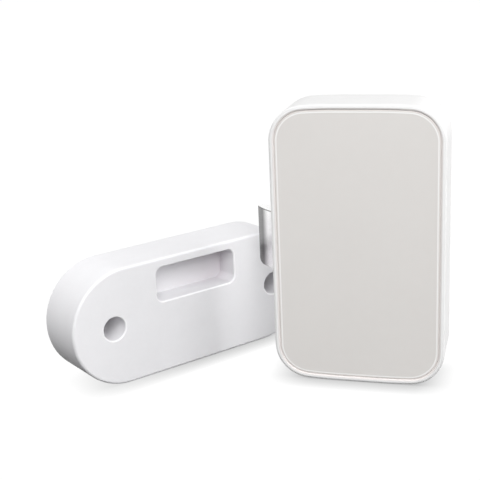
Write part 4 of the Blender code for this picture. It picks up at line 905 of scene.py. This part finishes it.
def make_bolt():
    """The bolt from its plan: a wedge with a bulged face, a rounded corner, softened edges and a stem."""
    half = BOLT_THICKNESS / 2
    middle_y = depth(BOLT_FRONT + half)
    rise = half - BOLT_TIP_FLAT
    fall = -half - rise
    slope = math.hypot(BOLT_NOSE, fall)
    plan = [(0, half)]
    for step in range(NOSE_STEPS + 1):
        share = step / NOSE_STEPS
        bulge = 4 * BOLT_BULGE * share * (1 - share)
        plan_x = BOLT_NOSE * share + bulge * fall / slope
        plan_y = rise + fall * share - bulge * BOLT_NOSE / slope
        plan.append((plan_x, plan_y))
    plan += [(BOLT_LENGTH, -half), (BOLT_LENGTH, half)]
    bm = bmesh.new()
    verts = [bm.verts.new((BOLT_TIP_X + x, middle_y + y, BOLT_BOTTOM)) for x, y in plan]
    floor = bm.faces.new(verts)
    lifted = bmesh.ops.extrude_face_region(bm, geom=[floor])
    top = [item for item in lifted["geom"] if isinstance(item, bmesh.types.BMVert)]
    bmesh.ops.translate(bm, vec=(0, 0, BOLT_HEIGHT), verts=top)
    bmesh.ops.recalc_face_normals(bm, faces=bm.faces)
    corner_bar = rod(BOLT_CORNER, BOLT_THICKNESS + 2 * MARGIN, (0, 0, 0), "Y", BOLT_CORNER_STEPS)
    notch = block(
        (2 * BOLT_CORNER, BOLT_THICKNESS + MARGIN, 2 * BOLT_CORNER), (-BOLT_CORNER, 0, -BOLT_CORNER)
    )
    notch = combined(notch, [("DIFFERENCE", corner_bar)])
    centre = (BOLT_TIP_X + BOLT_CORNER, middle_y, BOLT_BOTTOM + BOLT_CORNER)
    bmesh.ops.translate(notch, vec=centre, verts=notch.verts)
    stem_start = BOLT_TIP_X + BOLT_LENGTH - MARGIN
    stem = rod(
        STEM_RADIUS,
        STEM_END_X - stem_start,
        ((STEM_END_X + stem_start) / 2, middle_y, BOLT_BOTTOM + BOLT_HEIGHT / 2),
        "X",
    )
    bm = combined(bm, [("DIFFERENCE", notch), ("UNION", stem)])
    top_z = BOLT_BOTTOM + BOLT_HEIGHT
    bmesh.ops.bisect_plane(
        bm, geom=[*bm.verts, *bm.edges, *bm.faces], plane_co=(0, 0, top_z - NOSE_LINE), plane_no=(0, 0, 1)
    )
    # Painted dark reflection across the nose, fading from near the tip, and a painted darker line along
    # its tip and top edges.
    shade = bm.loops.layers.float.new("painted_nose_reflection")
    line = bm.loops.layers.float.new("painted_dark_edge_line")
    bm.normal_update()
    for face in bm.faces:
        if face.normal.y > NOSE_FACING or face.calc_center_median().x > BOLT_TIP_X + BOLT_NOSE:
            continue
        for corner in face.loops:
            along = corner.vert.co.x - BOLT_TIP_X
            corner[shade] = min(1.0, max(0.0, 1.0 - (along - SHADE_START) / SHADE_FADE))
            corner[line] = float(along < MERGE or top_z - corner.vert.co.z < MERGE)
    finish_piece("latch_bolt_wedge", bm, "bolt", "latch_bolt", BOLT_EDGE)


def make_striker():
    """The striker's block with its slot and its two counterbored holes, their mouths softened."""
    front_round = rounded((STRIKER_ROUND, STRIKER_ROUND), STRIKER_ROUND, 180, 270)
    back_round = rounded((STRIKER_ROUND, STRIKER_DEPTH - STRIKER_ROUND), STRIKER_ROUND, 90, 180)
    slot_size = (SLOT_WIDTH, 2 * SLOT_DEPTH, SLOT_HEIGHT)
    slot_middle = (0, 0, SLOT_BOTTOM + SLOT_HEIGHT / 2)
    tools = [("DIFFERENCE", block(slot_size, slot_middle, SLOT_CORNER, along=1, steps=SLOT_STEPS))]
    bore_depth = STRIKER_DEPTH - COUNTERBORE_FLOOR
    for side in (-1, 1):
        x = side * HOLE_SPACING / 2
        tools.append(("DIFFERENCE", rod(COUNTERBORE_RADIUS, 2 * bore_depth, (x, 0, HOLE_HEIGHT), "Y")))
        tools.append(("DIFFERENCE", rod(HOLE_RADIUS, 4 * STRIKER_DEPTH, (x, 0, HOLE_HEIGHT), "Y")))
    bm = combined(sweep(pill_ring, pill_outward, back_round + front_round, False), tools)

    reach = STRIKER_HEIGHT / 2 - 2 * STRIKER_ROUND

    def on_mouth(*ends):
        return all(abs(end.z - STRIKER_HEIGHT / 2) < reach and abs(end.y) < MERGE for end in ends)

    # Painted shade inside the slot, growing towards its back and from none in its left half to full at its
    # right end, half of it on the counterbores' floors, and a painted highlight on the softened mouths.
    shade = bm.verts.layers.float.new("slot")
    mouth = bm.loops.layers.float.new("painted_mouth_highlight")
    for face in soften_mouth(bm, on_mouth, SLOT_MOUTH):
        for corner in face.loops:
            corner[mouth] = 1.0
    for vert in bm.verts:
        level = abs(vert.co.z - slot_middle[2]) < SLOT_HEIGHT / 2 + MERGE
        deep = MARGIN < vert.co.y < SLOT_DEPTH + MERGE
        if level and deep and abs(vert.co.x) < SLOT_WIDTH / 2 + MERGE:
            vert[shade] = max(0.0, 2 * vert.co.x / SLOT_WIDTH)
        if SLOT_DEPTH + MARGIN < vert.co.y < STRIKER_DEPTH - MARGIN:
            vert[shade] = BORE_SHADE
    bmesh.ops.transform(bm, matrix=striker_turn(), verts=bm.verts)
    finish_piece("striker_block", bm, "striker", "striker_body")


def striker_turn():
    """From the striker's own frame to its place beside the lock."""
    return Matrix.Translation(STRIKER_PLACE) @ Matrix.Rotation(STRIKER_TURN, 4, "Z")


def make_back_pad():
    """The foam pad on the back plate, with rounded corners and soft edges."""
    thickness = BACK_PAD_BACK - BACK_PAD_FRONT
    size = (BACK_PAD_WIDTH, thickness, BACK_PAD_HEIGHT)
    middle = (0, depth(BACK_PAD_FRONT + thickness / 2), LOCK_HEIGHT / 2)
    bm = block(size, middle, BACK_PAD_CORNER, along=1, steps=PAD_STEPS)
    soften_mouth(bm, lambda one, other: abs(one.y - other.y) < MERGE, PAD_EDGE)
    pad = finish_piece("back_foam_pad", bm, "lock", "back_pad")


def make_striker_pad():
    """The foam pad behind the striker, with a hole for each screw."""
    inset = STRIKER_PAD_INSET + PAD_EDGE
    back_round = rounded((inset, STRIKER_PAD_BACK - PAD_EDGE), PAD_EDGE, 90, 180)
    front_round = rounded((inset, STRIKER_PAD_FRONT + PAD_EDGE), PAD_EDGE, 180, 270)
    tools = []
    for side in (-1, 1):
        place = (side * HOLE_SPACING / 2, STRIKER_PAD_BACK, HOLE_HEIGHT)
        tools.append(("DIFFERENCE", rod(PAD_HOLE_RADIUS, STRIKER_DEPTH, place, "Y")))
    bm = combined(sweep(pill_ring, pill_outward, back_round + front_round, False), tools)
    bmesh.ops.transform(bm, matrix=striker_turn(), verts=bm.verts)
    pad = finish_piece("striker_foam_pad", bm, "striker", "striker_pad")


# The pieces that keep their CAD form: the body that they ride, the round of their edges, and their nodes.
KEPT_FORMS = (
    ("lock", 0.00025, ("back_plate", "battery_tray", "battery_cell_1", "battery_cell_2", "buzzer")),
    ("lock", 0.00015, ("mechanism_base", "mechanism_cover", "motor_can", "motor_cap", "motor_clamp")),
    ("lock", 0.00010, ("circuit_board", "radio_module", "control_chip", "reset_switch", "wheel_axle")),
    ("lock", 0.00008, ("contact_plate_1", "contact_plate_2", "contact_link")),
    ("lock", 0.00006, ("back_screw_1", "back_screw_2", "back_screw_3", "back_screw_4")),
    ("lock", 0.00006, ("cover_screw_1", "cover_screw_2", "cover_screw_3")),
    ("lock", 0.00006, ("board_screw_1", "board_screw_2")),
    ("lock", 0.0, ("contact_spring_1", "contact_spring_2")),
    ("lock", 0.0, ("battery_lead_1", "battery_lead_2", "motor_lead_1", "motor_lead_2")),
    ("carriage", 0.00015, ("bolt_carriage",)),
    ("bolt", 0.00010, ("bolt_clip",)),
    ("gear", 0.00006, ("worm_wheel",)),
    ("worm_screw", 0.0, ("worm",)),
    ("worm_screw", 0.00010, ("motor_shaft",)),
    ("button", 0.00015, ("reset_button",)),
)


def make_bolt_spring():
    """The bolt's spring as the CAD shapes it, riding the carriage, with a mesh of its own."""
    spring = finish_piece("bolt_return_spring", cad_copy("bolt_spring"), "carriage", "bolt_spring")
    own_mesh(spring)


def make_kept_forms():
    """The inner pieces and fasteners, as the CAD shapes them, with soft edges and their finishes."""
    for body, edge_round, nodes in KEPT_FORMS:
        for node in nodes:
            finish_piece(f"finished_{node}", cad_copy(node), body, node, edge_round)


# Stage

# Camera, fitted to the photograph
SENSOR = 36.0
LENS = 78.3
NEAREST = 0.01
CAMERA_PLACE = (0.0484, -0.3092, 0.1390)
CAMERA_TURN = math.radians(15.84)
CAMERA_TILT = math.radians(73.28)
CAMERA_ROLL = math.radians(-2.62)

# Floor: its share of the lamps' light, its own white, what it throws back, and its contact shade
FLOOR_RADIUS = 6.0
FLOOR_SIDES = 64
FLOOR_LIT = 0.03
FLOOR_GLOW = 1.0
FLOOR_BOUNCE = 0.02
SHADE_REACH = 0.0075
SHADE_SAMPLES = 16
SHADE_LEAN = (-0.25, 0.62, 0.74)

# How white the contact shade stays along x, and what is added at the right end, as (x, value)
SHADE_LEFT = ((-0.095, 0.95), (-0.055, 0.42))
SHADE_RIGHT = ((0.018, 0.0), (0.032, 0.50))

# Light from all round, then each lamp's place, its two sides and its power
AMBIENT = 0.16
LAMP_AIM = (0.0, 0.0, 0.05)
LAMPS = {
    "overhead": ((0.05, -0.10, 0.75), (0.7, 0.6), 0.30),
    "high_front": ((0.12, -0.68, 0.55), (0.6, 0.5), 5.1),
    "front": ((0.34, -0.73, 0.30), (0.6, 0.5), 1.5),
    "right": ((0.70, -0.10, 0.30), (0.5, 0.5), 2.5),
    "right_back": ((0.65, 0.30, 0.15), (0.5, 0.5), 2.6),
    "left": ((-0.50, -0.25, 0.75), (0.5, 0.5), 2.3),
    "left_back": ((-0.60, 0.50, 0.12), (0.5, 0.5), 3.0),
}


def make_camera():
    lens = bpy.data.cameras.new("photo_view")
    lens.sensor_width = SENSOR
    lens.lens = LENS
    lens.clip_start = NEAREST
    camera = bpy.data.objects.new("photo_view", lens)
    bpy.context.scene.collection.objects.link(camera)
    turn = Matrix.Rotation(CAMERA_TURN, 4, "Z")
    tilt = Matrix.Rotation(CAMERA_TILT, 4, "X")
    roll = Matrix.Rotation(CAMERA_ROLL, 4, "Z")
    camera.matrix_world = Matrix.Translation(CAMERA_PLACE) @ turn @ tilt @ roll
    bpy.context.scene.camera = camera


def seen_white(nodes, links):
    """1 for the rays that show the white background: the camera's, mirrored ones and those let through."""
    ray = nodes.new("ShaderNodeLightPath")
    shown = ray.outputs["Is Camera Ray"]
    for kind in ("Is Glossy Ray", "Is Transmission Ray"):
        either = nodes.new("ShaderNodeMath")
        either.operation = "MAXIMUM"
        links.new(shown, either.inputs[0])
        links.new(ray.outputs[kind], either.inputs[1])
        shown = either.outputs[0]
    return shown


def make_floor():
    """A floor that shows white, darkens only where a piece stands on it, and throws back little light."""
    bm = bmesh.new()
    bmesh.ops.create_circle(bm, cap_ends=True, segments=FLOOR_SIDES, radius=FLOOR_RADIUS)
    floor = object_from("floor", bm)
    material = bpy.data.materials.new("white_floor")
    material.use_nodes = True
    nodes, links = material.node_tree.nodes, material.node_tree.links
    nodes.remove(nodes["Principled BSDF"])
    out = nodes["Material Output"]
    lit = nodes.new("ShaderNodeBsdfDiffuse")
    lit.inputs["Color"].default_value = opaque(grey(FLOOR_LIT))
    contact = nodes.new("ShaderNodeAmbientOcclusion")
    contact.samples = SHADE_SAMPLES
    contact.inputs["Distance"].default_value = SHADE_REACH
    lean = nodes.new("ShaderNodeCombineXYZ")
    for axis, share in zip("XYZ", SHADE_LEAN):
        lean.inputs[axis].default_value = share
    links.new(lean.outputs[0], contact.inputs["Normal"])
    place = nodes.new("ShaderNodeTexCoord")
    split = nodes.new("ShaderNodeSeparateXYZ")
    links.new(place.outputs["Object"], split.inputs[0])
    least = nodes.new("ShaderNodeMath")
    for index, ends in enumerate((SHADE_LEFT, SHADE_RIGHT)):
        along = ramp(nodes, *ends)
        links.new(split.outputs["X"], along.inputs["Value"])
        links.new(along.outputs["Result"], least.inputs[index])
    shade = nodes.new("ShaderNodeMapRange")
    links.new(least.outputs[0], shade.inputs["To Min"])
    links.new(contact.outputs["AO"], shade.inputs["Value"])
    glow = nodes.new("ShaderNodeEmission")
    glow.inputs["Strength"].default_value = FLOOR_GLOW
    links.new(shade.outputs["Result"], glow.inputs["Color"])
    lifted = nodes.new("ShaderNodeAddShader")
    links.new(lit.outputs[0], lifted.inputs[0])
    links.new(glow.outputs[0], lifted.inputs[1])
    bounce = nodes.new("ShaderNodeBsdfDiffuse")
    bounce.inputs["Color"].default_value = opaque(grey(FLOOR_BOUNCE))
    choose = nodes.new("ShaderNodeMixShader")
    links.new(seen_white(nodes, links), choose.inputs["Fac"])
    links.new(bounce.outputs[0], choose.inputs[1])
    links.new(lifted.outputs[0], choose.inputs[2])
    links.new(choose.outputs[0], out.inputs["Surface"])
    floor.data.materials.append(material)


def make_world():
    """A white background where it is seen, and a dimmer light from all round."""
    world = bpy.data.worlds.new("studio")
    bpy.context.scene.world = world
    world.use_nodes = True
    nodes, links = world.node_tree.nodes, world.node_tree.links
    ambient = nodes["Background"]
    ambient.inputs["Color"].default_value = opaque(grey(1.0))
    ambient.inputs["Strength"].default_value = AMBIENT
    white = nodes.new("ShaderNodeBackground")
    white.inputs["Color"].default_value = opaque(grey(1.0))
    white.inputs["Strength"].default_value = 1.0
    choose = nodes.new("ShaderNodeMixShader")
    links.new(seen_white(nodes, links), choose.inputs["Fac"])
    links.new(ambient.outputs[0], choose.inputs[1])
    links.new(white.outputs[0], choose.inputs[2])
    links.new(choose.outputs[0], nodes["World Output"].inputs["Surface"])


def add_lamp(name, place, size, power):
    """A soft rectangular lamp that faces the part."""
    lamp = bpy.data.lights.new(name, "AREA")
    lamp.shape = "RECTANGLE"
    lamp.size, lamp.size_y = size
    lamp.energy = power
    holder = bpy.data.objects.new(name, lamp)
    bpy.context.scene.collection.objects.link(holder)
    way = Vector(LAMP_AIM) - Vector(place)
    holder.matrix_world = Matrix.Translation(place) @ way.to_track_quat("-Z", "Y").to_matrix().to_4x4()


def main():
    bpy.context.scene.view_settings.view_transform = "Standard"
    make_camera()
    make_floor()
    make_world()
    for name, lamp in LAMPS.items():
        add_lamp(name, *lamp)
    make_housing()
    make_front_panel()
    make_bolt()
    make_striker()
    make_back_pad()
    make_striker_pad()
    make_bolt_spring()
    make_kept_forms()


main()
bpy.context.view_layer.update()
